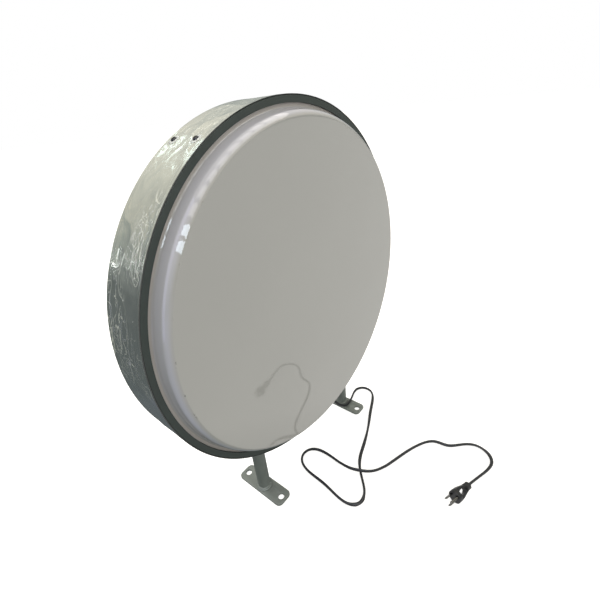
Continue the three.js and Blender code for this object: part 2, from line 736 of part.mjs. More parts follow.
// The plug lies on the floor, rolled over, with its pins along its own +X and the earth pin at its own +Z.
function buildPlug() {
  const plugGroup = new THREE.Group();
  plugGroup.position.set(...plug.faceCentre);
  plugGroup.rotation.set(degrees(plug.roll), degrees(plug.pitch), degrees(plug.yaw), "ZYX");
  sign.add(plugGroup);
  const along = (geometry) => geometry.rotateY(Math.PI / 2);
  const tailStart = -plug.length;
  const waist = tailStart + plug.tailLength;
  const shoulder = -plug.faceLength * 0.6;
  const ease = waist + plug.waistEase;
  const bulge = plug.armHalfWidth + plug.armBulge;
  const arms = new THREE.Shape();
  arms.moveTo(waist, -plug.waistHalfWidth);
  arms.bezierCurveTo(ease, -plug.waistHalfWidth, plug.loopCentre, -bulge, shoulder, -plug.armHalfWidth);
  arms.lineTo(shoulder, plug.armHalfWidth);
  arms.bezierCurveTo(plug.loopCentre, bulge, ease, plug.waistHalfWidth, waist, plug.waistHalfWidth);
  const [loopX, loopY] = [plug.loopLength / 2, plug.loopWidth / 2];
  const loop = new THREE.EllipseCurve(plug.loopCentre, 0, loopX, loopY, 0, 2 * Math.PI, true);
  arms.holes.push(new THREE.Path(loop.getPoints(20).slice(1)));
  const extrusion = { depth: plug.armThickness, bevelEnabled: false, curveSegments: 8 };
  const flat = new THREE.ExtrudeGeometry(arms, extrusion).translate(0, 0, -plug.armThickness / 2);
  const faceBlock = along(post(2 * plug.faceRadius, -plug.faceLength, 0, 24));
  const tail = along(post(2 * plug.tailRadius, tailStart, waist + 1, 8));
  const whole = join(flat, faceBlock, tail);

  const bladeAt = (grow, end) => {
    const w = pins.bladeWidth / 2 + grow;
    const t = pins.bladeThickness / 2 + grow;
    return block(-pins.buried - grow, end, -t, t, -w - pins.drop, w - pins.drop);
  };
  const groundAt = (grow, end) => {
    const pin = along(post(pins.ground + 2 * grow, -pins.buried - grow, end, 16));
    return pin.translate(0, 0, pins.groundOffset - pins.drop);
  };
  const offset = pins.bladeSpacing / 2;
  const pastTheFace = 5;
  const sockets = [
    bladeAt(FIT, pastTheFace).translate(0, -offset, 0),
    bladeAt(FIT, pastTheFace).translate(0, offset, 0),
    groundAt(FIT, pastTheFace),
  ];
  add(plugGroup, "plug_body", cut(whole, ...sockets), materials.blackPvc);

  const blade = () => {
    const eye = post(pins.bladeHole, -pastTheFace, pastTheFace, 12).rotateX(Math.PI / 2);
    const eyeX = pins.bladeLength - pins.bladeHole * 1.1;
    return cut(bladeAt(0, pins.bladeLength), eye.translate(eyeX, 0, -pins.drop));
  };
  add(plugGroup, "plug_blade_left", blade(), materials.steel).position.y = -offset;
  add(plugGroup, "plug_blade_right", blade(), materials.steel).position.y = offset;
  add(plugGroup, "plug_earth_pin", groundAt(0, pins.groundLength), materials.steel);
}

buildCasingBand();
for (const side of sides) {
  buildRetainer(side);
  buildGasket(side);
  buildFace(side);
  buildStopRing(side);
  buildRingScrews(side);
  buildLedBars(side);
}
buildStiffener();
buildPanel();
buildPanelBrackets();
buildDriver();
buildTerminalBlock();
buildInnerLeads();
buildEarth();
for (const side of legs) {
  buildLeg(side);
  buildFootPlate(side);
}
buildGland();
buildCord();
buildPlug();

export default sign;
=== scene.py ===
"""A round, two-sided light-box sign on two legs, with its mains lead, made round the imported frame.

Metres. The origin is on the floor under the middle of the casing; +Y runs to the back and +Z is up.
"""

import math

import bmesh
import bpy
from bpy.props import FloatProperty, FloatVectorProperty, IntProperty, PointerProperty
from bpy.types import Operator, Panel, PropertyGroup
from mathutils import Euler, Matrix, Vector


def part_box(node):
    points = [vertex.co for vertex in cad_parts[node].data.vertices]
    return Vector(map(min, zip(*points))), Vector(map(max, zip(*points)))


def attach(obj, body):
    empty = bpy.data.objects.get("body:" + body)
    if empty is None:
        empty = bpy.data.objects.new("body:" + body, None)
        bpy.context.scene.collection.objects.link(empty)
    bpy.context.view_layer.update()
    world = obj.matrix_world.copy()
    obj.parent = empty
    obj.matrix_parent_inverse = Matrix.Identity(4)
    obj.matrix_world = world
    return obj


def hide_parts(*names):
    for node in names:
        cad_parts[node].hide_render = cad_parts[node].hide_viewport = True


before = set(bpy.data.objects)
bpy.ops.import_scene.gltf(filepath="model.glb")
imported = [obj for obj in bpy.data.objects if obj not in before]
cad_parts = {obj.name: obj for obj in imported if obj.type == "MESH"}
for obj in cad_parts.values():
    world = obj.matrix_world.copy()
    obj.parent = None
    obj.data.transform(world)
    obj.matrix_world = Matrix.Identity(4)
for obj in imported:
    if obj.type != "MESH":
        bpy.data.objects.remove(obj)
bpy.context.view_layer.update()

bl_info = {
    "name": "Round light-box sign",
    "version": (1, 0, 0),
    "blender": (4, 5, 0),
    "location": "3D View > Sidebar > Sign",
    "description": "Makes the pieces of a round light-box sign round its packed frame",
    "category": "Add Mesh",
}

MM = 0.001
SIDES = ("front", "back")
LEGS = ("left", "right")
SCREWS_A_SIDE = 4


# ---- Places that follow from the frame ----


def middle(node):
    low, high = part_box(node)
    return (low + high) / 2


def extent(node):
    low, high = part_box(node)
    return high - low


CENTRE = Vector((0, 0, middle("casing_band").z))
RADIUS = extent("casing_band").x / 2
HALF_WIDTH = extent("casing_band").y / 2


def towards(angle, distance, y=0.0):
    """A point at an angle round the casing and a distance from its middle."""
    turn = math.radians(angle)
    return CENTRE + Vector((distance * math.cos(turn), y, distance * math.sin(turn)))


def polar(node):
    """(angle, distance) of the middle of a node, from the middle of the casing."""
    offset = middle(node) - CENTRE
    return math.degrees(math.atan2(offset.z, offset.x)), math.hypot(offset.x, offset.z)


# ---- Properties ----


def length(name, description, default):
    return FloatProperty(
        name=name, description=description, default=default, unit="LENGTH", subtype="DISTANCE", precision=5
    )


def colour(name, description, default):
    return FloatVectorProperty(
        name=name, description=description, default=default, size=3, min=0, max=1, subtype="COLOR"
    )


class CasingSizes(PropertyGroup):
    wall: length("Wall", "Thickness of the sheet metal band", 1.2 * MM)
    hem: length("Hem", "Width of the bright folded hem along each edge of the band", 2.4 * MM)
    relief: length("Film relief", "Height of the creases in the protective film", 0.8 * MM)
    pucker: length("Pucker", "Radius of the gathered film round each screw", 7.5 * MM)
    segments: IntProperty(name="Segments", description="Steps round the band", default=720, min=64)
    rows: IntProperty(name="Rows", description="Steps across the band", default=30, min=8)


class RingSizes(PropertyGroup):
    lip_inner: length("Lip radius", "Inner radius of the ring's front lip", 289.2 * MM)
    thickness: length("Thickness", "Thickness of the ring's metal", 1.5 * MM)
    skirt: length("Skirt", "Depth of the ring's skirt inside the band", 25 * MM)
    clearance: length("Clearance", "Gap between the skirt and the band", 0.4 * MM)
    edge: length("Edge", "Rounding of the lip's two edges", 0.5 * MM)


class FaceSizes(PropertyGroup):
    wall: length("Wall", "Thickness of the acrylic", 3 * MM)
    flange_edge: length("Flange edge", "Outer radius of the clamped flange", 295.9 * MM)
    flange_inner: length("Flange inner", "Radius where the flange turns up", 286 * MM)
    cove: length("Cove", "Radius of the cove between the flange and the wall", 4 * MM)
    flat: length("Flat", "Radius of the flat middle", 271.5 * MM)
    corner: length("Corner", "Radius of the rounded shoulder below the crease", 14 * MM)
    crease: length("Crease", "Radius of the tight crease where the flat ends", 3 * MM)


class LegSizes(PropertyGroup):
    tube: length("Tube", "Outer diameter of the leg tube", 25 * MM)
    wall: length("Tube wall", "Wall of the leg tube", 2 * MM)
    corner: length("Plate corner", "Radius of the foot plate's corners", 10 * MM)
    hole: length("Bolt hole", "Diameter of the holes in the foot plate", 12 * MM)
    hole_spacing: length("Hole spacing", "Distance between the two holes of a foot plate", 92 * MM)
    edge: length("Plate edge", "Rounding of the foot plate's edges", 0.6 * MM)


class ScrewSizes(PropertyGroup):
    head: length("Head", "Diameter of a ring screw's head", 7.6 * MM)
    height: length("Height", "Height of a ring screw's head", 2.3 * MM)
    recess: length("Recess", "Width of one arm of the cross recess", 1.1 * MM)


class GlandSizes(PropertyGroup):
    hexagon: length("Hexagon", "Gland body across its flats", 22 * MM)
    dome: length("Dome nut", "Diameter of the dome nut", 20 * MM)
    ribs: IntProperty(name="Ribs", description="Grip ribs round the dome nut", default=14, min=6)
    boot_root: length("Boot root", "Diameter of the strain relief at the nut", 13 * MM)
    boot_tip: length("Boot tip", "Diameter of the strain relief at its end", 9.6 * MM)
    grooves: IntProperty(name="Grooves", description="Flexing grooves in the strain relief", default=5, min=2)


class CordSizes(PropertyGroup):
    width: length("Width", "Width of the flat lead", 7 * MM)
    thickness: length("Thickness", "Thickness of the flat lead", 5 * MM)
    steps: IntProperty(name="Steps", description="Rings along the lead", default=620, min=100)


class PlugSizes(PropertyGroup):
    face: FloatVectorProperty(
        name="Face", description="Middle of the plug's face",
        default=(41.6 * MM, -316.1 * MM, 13.1 * MM), size=3, subtype="TRANSLATION",
    )
    turn: FloatVectorProperty(
        name="Turn", description="Roll, pitch and yaw of the plug as it lies",
        default=(math.radians(-42), math.radians(-5.1), math.radians(164.1)), size=3, subtype="EULER",
    )
    length: length("Length", "From the face to the end of the tail", 43.6 * MM)
    blade_width: length("Blade width", "Width of a flat blade", 6.35 * MM)
    blade_thickness: length("Blade thickness", "Thickness of a flat blade", 1.5 * MM)
    blade_length: length("Blade length", "How far a flat blade stands out", 16.5 * MM)
    blade_spacing: length("Blade spacing", "Distance between the two flat blades", 12.7 * MM)
    earth_length: length("Earth length", "How far the earth pin stands out", 20.5 * MM)
    earth_diameter: length("Earth diameter", "Diameter of the earth pin", 4.8 * MM)
    blade_drop: length("Blade drop", "From the plug's axis to the middle of the blades", 4.1 * MM)
    earth_offset: length("Earth offset", "From the blades' middle to the earth pin's", 11.9 * MM)


class Colours(PropertyGroup):
    metal: colour("Band", "Bright sheet metal under film", (0.62, 0.66, 0.62))
    ring: colour("Ring", "Matt paint of the retaining rings", (0.052, 0.064, 0.060))
    acrylic: colour("Face", "Opal acrylic", (0.55, 0.545, 0.54))
    leg: colour("Legs", "Paint of the legs and foot plates", (0.215, 0.24, 0.23))
    vinyl: colour("Lead", "Black vinyl of the lead and plug", (0.012, 0.014, 0.018))
    pins: colour("Pins", "Plated pins", (0.14, 0.14, 0.135))


GROUPS = {
    "sign_casing": CasingSizes,
    "sign_ring": RingSizes,
    "sign_face": FaceSizes,
    "sign_leg": LegSizes,
    "sign_screw": ScrewSizes,
    "sign_gland": GlandSizes,
    "sign_cord": CordSizes,
    "sign_plug": PlugSizes,
    "sign_colours": Colours,
}


# ---- Modelling helpers ----


def deselect():
    if bpy.context.object and bpy.context.object.mode != "OBJECT":
        bpy.ops.object.mode_set(mode="OBJECT")
    bpy.ops.object.select_all(action="DESELECT")


def take(obj):
    deselect()
    obj.select_set(True)
    bpy.context.view_layer.objects.active = obj


def named(name):
    obj = bpy.context.object
    obj.name = name
    obj.data.name = name
    return obj


def into_edit(obj, everything=False):
    take(obj)
    bpy.ops.object.mode_set(mode="EDIT")
    bpy.ops.mesh.select_mode(type="VERT")
    bpy.ops.mesh.select_all(action="SELECT" if everything else "DESELECT")


def out_of_edit():
    bpy.ops.object.mode_set(mode="OBJECT")


def choose(obj, kind, test):
    """Selects the faces, edges or vertices in edit mode whose middle passes a test."""
    bpy.ops.mesh.select_mode(type={"faces": "FACE", "edges": "EDGE", "verts": "VERT"}[kind])
    bpy.ops.mesh.select_all(action="DESELECT")
    mesh = bmesh.from_edit_mesh(obj.data)
    for element in getattr(mesh, kind):
        if kind == "verts":
            element.select_set(test(element.co))
        elif kind == "faces":
            element.select_set(test(element.calc_center_median(), element.normal))
        else:
            first, second = (vertex.co for vertex in element.verts)
            element.select_set(test(first, second))
    bmesh.update_edit_mesh(obj.data)


def outside_out(obj):
    into_edit(obj, everything=True)
    bpy.ops.mesh.remove_doubles(threshold=1e-6)
    bpy.ops.mesh.normals_make_consistent(inside=False)
    out_of_edit()


def turn_up(name, profile, sides, closed=True):
    """A turned piece on its own +Z: a circle drawn through the radii and heights of a profile."""
    deselect()
    radius, height = profile[0]
    bpy.ops.mesh.primitive_circle_add(vertices=sides, radius=radius, location=(0, 0, height))
    obj = named(name)
    bpy.ops.object.transform_apply(location=True)
    into_edit(obj, everything=True)
    points = profile[1:] + ([profile[0]] if closed else [])
    for next_radius, next_height in points:
        bpy.ops.mesh.extrude_edges_indiv()
        bpy.ops.transform.translate(value=(0, 0, next_height - height))
        ratio = next_radius / radius
        bpy.ops.transform.resize(value=(ratio, ratio, 1), center_override=(0, 0, next_height))
        radius, height = next_radius, next_height
    out_of_edit()
    outside_out(obj)
    return obj


def swell(obj, factor):
    """Moves each vertex of a turned piece in or out, by a factor of its angle, its radius and its height."""
    for vertex in obj.data.vertices:
        out = math.hypot(vertex.co.x, vertex.co.y)
        by = factor(math.atan2(vertex.co.y, vertex.co.x), out, vertex.co.z)
        vertex.co.x *= by
        vertex.co.y *= by


def settle(obj, place=None):
    """Puts a piece where its matrix says and leaves the object itself at the origin."""
    if place is not None:
        obj.matrix_world = place
    take(obj)
    bpy.ops.object.transform_apply(location=True, rotation=True, scale=True)
    return obj


def finish(obj, material, angle=30.0, body="root", replaces=()):
    take(obj)
    bpy.ops.object.shade_smooth_by_angle(angle=math.radians(angle))
    obj.data.materials.clear()
    obj.data.materials.append(material)
    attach(obj, body)
    if replaces:
        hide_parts(*replaces)
    return obj


def apply_modifiers(obj):
    take(obj)
    for modifier in list(obj.modifiers):
        bpy.ops.object.modifier_apply(modifier=modifier.name)


def bevel(obj, width, segments=2, angle=35.0):
    modifier = obj.modifiers.new("edges", "BEVEL")
    modifier.width = width
    modifier.segments = segments
    modifier.limit_method = "ANGLE"
    modifier.angle_limit = math.radians(angle)
    apply_modifiers(obj)


def drill(obj, tool):
    modifier = obj.modifiers.new("hole", "BOOLEAN")
    modifier.operation = "DIFFERENCE"
    modifier.solver = "EXACT"
    modifier.object = tool
    apply_modifiers(obj)
    bpy.data.objects.remove(tool, do_unlink=True)


def arc(centre_r, centre_z, radius, start, end, count):
    """Points of an arc in a turned profile, as (radius, height), from one angle to another."""
    points = []
    for i in range(count + 1):
        turn = math.radians(start + (end - start) * i / count)
        points.append((centre_r + radius * math.cos(turn), centre_z + radius * math.sin(turn)))
    return points


def ring_place(side):
    """Turns a piece made on +Z so that its +Z points out of the front or the back of the casing."""
    tilt = math.radians(90 if side == "front" else -90)
    return Matrix.Translation(CENTRE) @ Matrix.Rotation(tilt, 4, "X")


def rim_place(angle, distance, y):
    """Turns a piece made on +Z so that it stands on the rim, pointing outwards."""
    return Matrix.Translation(towards(angle, distance, y)) @ Matrix.Rotation(math.radians(90 - angle), 4, "Y")


# ---- Materials ----


class Finish:
    """A node material with one shader, and short calls for the patterns that feed it."""

    def __init__(self, name, base, metallic=0.0, roughness=0.5):
        self.material = bpy.data.materials.new(name)
        self.material.use_nodes = True
        self.nodes = self.material.node_tree.nodes
        self.links = self.material.node_tree.links
        self.shader = self.nodes["Principled BSDF"]
        self.put("Base Color", (*base, 1))
        self.put("Metallic", metallic)
        self.put("Roughness", roughness)
        self.base = base
        self.where = self.nodes.new("ShaderNodeTexCoord").outputs["Object"]
        self.height = None

    def put(self, socket, value):
        self.shader.inputs[socket].default_value = value

    def node(self, kind, inputs=None, **settings):
        made = self.nodes.new(kind)
        for key, value in settings.items():
            setattr(made, key, value)
        for key, value in (inputs or {}).items():
            if isinstance(value, bpy.types.NodeSocket):
                self.links.new(value, made.inputs[key])
            else:
                made.inputs[key].default_value = value
        return made

    def noise(self, scale, detail=4.0, rough=0.5, distortion=0.0, where=None):
        inputs = {"Scale": scale, "Detail": detail, "Roughness": rough, "Distortion": distortion}
        inputs["Vector"] = where or self.where
        return self.node("ShaderNodeTexNoise", inputs).outputs["Fac"]

    def stretched(self, scale):
        made = self.node("ShaderNodeMapping", {"Vector": self.where, "Scale": scale})
        return made.outputs["Vector"]

    def span(self, value, low, high, new_low=0.0, new_high=1.0):
        inputs = {"Value": value, "From Min": low, "From Max": high, "To Min": new_low, "To Max": new_high}
        return self.node("ShaderNodeMapRange", inputs).outputs["Result"]

    def reckon(self, operation, first, second=0.0):
        return self.node("ShaderNodeMath", {0: first, 1: second}, operation=operation).outputs[0]

    def plus(self, first, second):
        return self.reckon("ADD", first, second)

    def less(self, first, second):
        return self.reckon("SUBTRACT", first, second)

    def times(self, first, second):
        return self.reckon("MULTIPLY", first, second)

    def most(self, first, second):
        return self.reckon("MAXIMUM", first, second)

    def size_of(self, value):
        return self.reckon("ABSOLUTE", value)

    def creases(self, scale, width, where=None, distortion=0.8):
        """Thin winding lines, 1 along their middle and 0 a little way off."""
        wave = self.noise(scale, 2.0, 0.45, distortion=distortion, where=where)
        off = self.size_of(self.less(wave, 0.5))
        return self.span(off, 0.0, width, 1.0, 0.0)

    def creased_ring(self, value, at, width):
        """1 where a value is within a width of a place, falling to 0."""
        off = self.size_of(self.less(value, at))
        return self.span(off, width * 0.6, width, 1.0, 0.0)

    def mix(self, factor, under, over):
        """Mixes two colours, each given as red, green and blue or as a socket."""
        made = self.node("ShaderNodeMix", {0: factor}, data_type="RGBA")
        for slot, value in ((6, under), (7, over)):
            if isinstance(value, bpy.types.NodeSocket):
                self.links.new(value, made.inputs[slot])
            else:
                made.inputs[slot].default_value = (*value, 1)
        return made.outputs[2]

    def tint(self, factor, other, under=None):
        """Mixes another colour over the base, or over a colour that was made before."""
        mixed = self.mix(factor, under or self.base, other)
        self.links.new(mixed, self.shader.inputs["Base Color"])
        return mixed

    def roughen(self, value):
        self.links.new(value, self.shader.inputs["Roughness"])

    def raise_by(self, value, distance, strength=1.0):
        """Adds one more layer of relief."""
        made = self.node("ShaderNodeBump", {"Height": value, "Distance": distance, "Strength": strength})
        if self.height is not None:
            self.links.new(self.height, made.inputs["Normal"])
        self.height = made.outputs["Normal"]
        self.links.new(self.height, self.shader.inputs["Normal"])


def shade(base, factor):
    """A colour made lighter or darker, by one factor or by one for each channel."""
    factors = factor if isinstance(factor, tuple) else (factor,) * 3
    return tuple(min(1.0, channel * by) for channel, by in zip(base, factors))


def film_over_metal(base):
    """Thin bright sheet under a clear film that has creased and lifted in places. Its creases and specks are
    painted pale as highlights, its hem is painted pale as a highlight that grows towards the top, and a line
    6 mm in from each edge is painted darker as the shade of a groove.
    """
    made = Finish("film_over_metal", base, metallic=0.85, roughness=0.2)
    made.put("Coat Weight", 0.6)
    made.put("Coat Roughness", 0.05)
    along = made.stretched((1, 2.4, 1))
    patches = made.noise(6.0, 3.0, 0.55, distortion=0.6)
    cloudy = made.tint(made.span(patches, 0.4, 0.62), shade(base, 0.8))
    here = made.span(made.noise(9.0, 2.0, 0.5, distortion=0.4), 0.40, 0.54)
    long_ = made.times(made.creases(9.0, 0.012, along, 1.4), here)
    short = made.times(made.creases(27.0, 0.02, along, 1.8), here)
    specks = made.span(made.noise(190.0, 2.0, 0.5), 0.735, 0.76)
    lines = made.most(made.most(long_, short), specks)
    split = made.node("ShaderNodeSeparateXYZ", {"Vector": made.where})
    across = made.size_of(split.outputs["Y"])
    hem = made.span(across, HALF_WIDTH - 1.3 * MM, HALF_WIDTH - 0.8 * MM)
    # Painted highlight: the hem is tinted pale, more so the higher it is on the band.
    hem = made.times(hem, made.span(split.outputs["Z"], 0.30, 0.52, 0.15, 0.8))
    # Painted shade: a darker line 6 mm in from each edge, for a groove that the mesh does not have.
    groove = made.creased_ring(across, HALF_WIDTH - 6 * MM, 0.5 * MM)
    # Painted highlight: the crease lines and the specks are tinted pale for their glints. They are also
    # raised as real relief further down.
    crease_glints_painted = made.tint(made.times(lines, 0.8), (0.90, 0.92, 0.86), cloudy)
    groove_shade_painted = made.tint(made.times(groove, 0.45), shade(base, 0.4), crease_glints_painted)
    hem_highlight_painted = made.tint(made.times(hem, 0.6), (0.80, 0.88, 0.80), groove_shade_painted)
    cut_edge = made.span(across, HALF_WIDTH - 0.75 * MM, HALF_WIDTH - 0.55 * MM)
    made.tint(cut_edge, (0.05, 0.055, 0.055), hem_highlight_painted)
    whole = made.most(lines, hem)
    made.links.new(made.span(whole, 0, 1, 0.85, 0.25), made.shader.inputs["Metallic"])
    made.roughen(made.span(patches, 0.35, 0.65, 0.12, 0.26))
    made.raise_by(made.noise(16.0, 3.0, 0.5, distortion=1.2, where=along), 1.1 * MM, 0.5)
    made.raise_by(whole, 0.25 * MM, 0.6)
    return made.material


def gathered_film_painted_white():
    """Clear film drawn up into folds and coloured white: partly the film's own whitening, partly painted
    highlight for the glints on its folds.
    """
    made = Finish("gathered_film", (0.82, 0.84, 0.83), roughness=0.22)
    folds = made.noise(320.0, 3.0, 0.6)
    made.tint(made.span(folds, 0.4, 0.62, 0, 0.8), (0.42, 0.45, 0.45))
    made.put("Coat Weight", 0.6)
    made.raise_by(folds, 0.3 * MM, 0.6)
    return made.material


def ring_paint(base):
    """Matt dark paint with a fine grain and a little dust."""
    made = Finish("ring_paint", base, roughness=0.6)
    made.put("Specular IOR Level", 0.3)
    dust = made.noise(14.0, 5.0, 0.6)
    made.tint(made.span(dust, 0.42, 0.72, 0, 0.5), shade(base, 1.5))
    made.roughen(made.span(dust, 0.3, 0.7, 0.46, 0.66))
    made.raise_by(made.noise(1800.0, 2.0), 0.05 * MM, 0.35)
    return made.material


def opal_acrylic(base, flat_radius):
    """Glossy opal sheet, faintly uneven, with dark specks along the crease round the flat on its left part.
    The wall is painted paler and bluer as a reflection of a lilac sky, and the flange is painted darker and
    browner as shade next to the ring.
    """
    made = Finish("opal_acrylic", base, roughness=0.05)
    made.put("Specular IOR Level", 0.55)
    made.put("Coat Weight", 0.25)
    made.put("Coat Roughness", 0.04)
    made.put("Subsurface Weight", 0.08)
    made.put("Subsurface Radius", (0.012, 0.012, 0.012))
    split = made.node("ShaderNodeSeparateXYZ", {"Vector": made.where})
    x, z = split.outputs["X"], made.less(split.outputs["Z"], CENTRE.z)
    square = made.plus(made.times(x, x), made.times(z, z))
    radius = made.node("ShaderNodeMath", {0: square}, operation="SQRT").outputs[0]
    tone = made.noise(3.2, 2.0, 0.5)
    mottled = made.tint(made.span(tone, 0.35, 0.65, 0, 0.35), shade(base, 0.9))
    # Painted reflection: the wall is tinted paler and bluer, standing in for the lilac sky that it mirrors.
    wall_top = made.span(radius, flat_radius + 2 * MM, flat_radius + 6 * MM)
    wall_foot = made.span(radius, flat_radius + 10 * MM, flat_radius + 13 * MM, 1, 0)
    wall_painted_lilac = made.tint(made.times(wall_top, wall_foot), shade(base, (1.04, 1.06, 1.20)), mottled)
    # Painted shade: the flange next to the dark ring is tinted darker and browner.
    flange = made.span(radius, flat_radius + 12 * MM, flat_radius + 14 * MM)
    flange_shade_painted = made.tint(flange, shade(base, (0.90, 0.84, 0.80)), wall_painted_lilac)
    # Dark specks along the crease round the flat, only on its left part, where x is below -0.12 m.
    crease_inside = made.span(radius, flat_radius - 0.6 * MM, flat_radius + 0.4 * MM)
    crease_outside = made.span(radius, flat_radius + 1.2 * MM, flat_radius + 2.2 * MM, 1, 0)
    left = made.span(x, -0.12, -0.2)
    specks = made.span(made.noise(55.0, 4.0, 0.7), 0.6, 0.68)
    left_crease_specks = made.times(made.times(crease_inside, crease_outside), made.times(specks, left))
    made.tint(made.times(left_crease_specks, 0.8), (0.13, 0.12, 0.11), flange_shade_painted)
    made.raise_by(made.noise(2.6, 1.5, 0.4), 1.2 * MM, 0.25)
    made.roughen(made.plus(made.span(made.noise(22.0, 4.0), 0.3, 0.7, 0.03, 0.07), made.times(flange, 0.25)))
    return made.material


def leg_paint(base):
    """Sprayed light grey paint with a slight orange peel."""
    made = Finish("leg_paint", base, metallic=0.15, roughness=0.42)
    tone = made.noise(32.0, 4.0, 0.55)
    toned = made.tint(made.span(tone, 0.38, 0.68, 0, 0.55), shade(base, 0.78))
    marks = made.span(made.noise(260.0, 5.0, 0.75), 0.66, 0.72)
    made.tint(made.times(marks, 0.5), (0.1, 0.1, 0.095), toned)
    made.roughen(made.span(tone, 0.3, 0.7, 0.34, 0.52))
    made.raise_by(made.noise(900.0, 2.0), 0.12 * MM, 0.4)
    return made.material


def zinc_steel(base=(0.60, 0.61, 0.62)):
    """Bare zinc-plated steel with its mottled bloom."""
    made = Finish("zinc_steel", base, metallic=1.0, roughness=0.32)
    bloom = made.noise(70.0, 4.0, 0.6)
    made.tint(made.span(bloom, 0.4, 0.7, 0, 0.6), shade(base, 0.7))
    made.roughen(made.span(bloom, 0.3, 0.7, 0.24, 0.46))
    made.raise_by(made.noise(1200.0, 2.0), 0.03 * MM, 0.3)
    return made.material


def black_screw():
    """Dark plated screw with a worn highlight."""
    made = Finish("black_screw", (0.045, 0.046, 0.05), metallic=0.9, roughness=0.35)
    wear = made.noise(600.0, 3.0, 0.6)
    made.tint(made.span(wear, 0.55, 0.75), (0.22, 0.22, 0.22))
    made.raise_by(wear, 0.04 * MM, 0.4)
    return made.material


def mill_aluminium():
    """Aluminium as it leaves the mill, with fine drawn lines."""
    made = Finish("mill_aluminium", (0.70, 0.71, 0.72), metallic=1.0, roughness=0.35)
    drawn = made.noise(90.0, 3.0, 0.6, where=made.stretched((1, 14, 1)))
    made.tint(made.span(drawn, 0.35, 0.7, 0, 0.5), (0.55, 0.56, 0.57))
    made.roughen(made.span(drawn, 0.3, 0.7, 0.28, 0.45))
    made.raise_by(drawn, 0.04 * MM, 0.4)
    return made.material


def plain_plastic(name, base, grain=700.0, roughness=0.5):
    """Moulded or painted stuff with a fine grain and a small drift of tone."""
    made = Finish(name, base, roughness=roughness)
    tone = made.noise(30.0, 3.0)
    made.tint(made.span(tone, 0.35, 0.7, 0, 0.5), shade(base, 0.8))
    made.roughen(made.span(tone, 0.3, 0.7, roughness - 0.06, roughness + 0.08))
    made.raise_by(made.noise(grain, 3.0), 0.06 * MM, 0.4)
    return made.material


def black_vinyl(name, base, roughness=0.38):
    """Soft black vinyl with a dull bloom, dust and fine scuffs."""
    made = Finish(name, base, roughness=roughness)
    bloom = made.noise(45.0, 4.0, 0.6)
    dusty = made.tint(made.span(bloom, 0.45, 0.75, 0, 0.6), shade(base, 2.2))
    scuffs = made.span(made.noise(420.0, 4.0, 0.7), 0.64, 0.7)
    made.tint(made.times(scuffs, 0.35), (0.12, 0.12, 0.12), dusty)
    made.roughen(made.span(bloom, 0.3, 0.7, roughness - 0.06, roughness + 0.12))
    made.raise_by(made.noise(1500.0, 2.0), 0.05 * MM, 0.4)
    return made.material


def plated_pins(base):
    """Nickel plating, rubbed along the pins."""
    made = Finish("plated_pins", base, metallic=1.0, roughness=0.25)
    rubbed = made.noise(500.0, 3.0, 0.6)
    made.tint(made.span(rubbed, 0.45, 0.75, 0, 0.7), (0.16, 0.15, 0.13))
    made.roughen(made.span(rubbed, 0.3, 0.7, 0.18, 0.4))
    made.raise_by(rubbed, 0.02 * MM, 0.4)
    return made.material


# What the floor shows to the eye, to shiny things and to the light that it throws up.
FLOOR_PAINT = (0.80, 0.80, 0.80)
FLOOR_SEEN = (0.72, 0.72, 0.72)
FLOOR_THROWN_UP = (0.20, 0.225, 0.215)
MIRRORED_PAINT = (0.012, 0.014, 0.016)
MIRRORED_DARK = (0.085, 0.10, 0.105)
MIRRORED_BRIGHT = (1.0, 0.98, 0.95)
MIRRORED_LILAC = (0.45, 0.46, 0.66)


def white_floor():
    """A white sweep: bright to the eye, dim in the light it throws up, uneven in what mirrors it."""
    made = Finish("white_floor", FLOOR_PAINT, roughness=0.9)
    path = made.node("ShaderNodeLightPath").outputs
    seen, mirrored = path["Is Camera Ray"], path["Is Glossy Ray"]
    made.put("Specular IOR Level", 0.0)
    split = made.node("ShaderNodeSeparateXYZ", {"Vector": made.where})
    x, y = split.outputs["X"], split.outputs["Y"]
    front = made.span(made.less(made.times(x, 0.8), y), -0.1, 0.25)
    left = made.times(made.span(x, -0.3, -0.5), made.span(y, 0.45, 0.1))
    glow = made.mix(front, MIRRORED_DARK, MIRRORED_BRIGHT)
    glow = made.mix(left, glow, MIRRORED_LILAC)
    glow = made.mix(seen, glow, FLOOR_SEEN)
    made.links.new(glow, made.shader.inputs["Emission Color"])
    made.links.new(made.most(seen, mirrored), made.shader.inputs["Emission Strength"])
    made.tint(mirrored, MIRRORED_PAINT, made.mix(seen, FLOOR_THROWN_UP, FLOOR_PAINT))
    return made.material


finishes = {}


def mix_the_finishes(colours):
    finishes.update(
        film=film_over_metal(colours.metal),
        gathered=gathered_film_painted_white(),
        ring=ring_paint(colours.ring),
        acrylic=opal_acrylic(colours.acrylic, bpy.context.scene.sign_face.flat),
        leg=leg_paint(colours.leg),
        zinc=zinc_steel(),
        screw=black_screw(),
        aluminium=mill_aluminium(),
        foam=plain_plastic("foam", (0.03, 0.03, 0.03), 900.0, 0.9),
        white=plain_plastic("white_panel", (0.82, 0.82, 0.80), 500.0, 0.5),
        board=plain_plastic("led_board", (0.86, 0.87, 0.82), 300.0, 0.4),
        terminal=plain_plastic("terminal_plastic", (0.80, 0.78, 0.72), 600.0, 0.45),
        nylon=plain_plastic("black_nylon", (0.02, 0.021, 0.023), 800.0, 0.48),
        lead=black_vinyl("lead_vinyl", colours.vinyl),
        plug=black_vinyl("plug_vinyl", shade(colours.vinyl, 0.7), 0.42),
        pins=plated_pins(colours.pins),
        earth=plain_plastic("earth_wire", (0.16, 0.42, 0.10), 900.0, 0.45),
    )


# ---- The stage ----


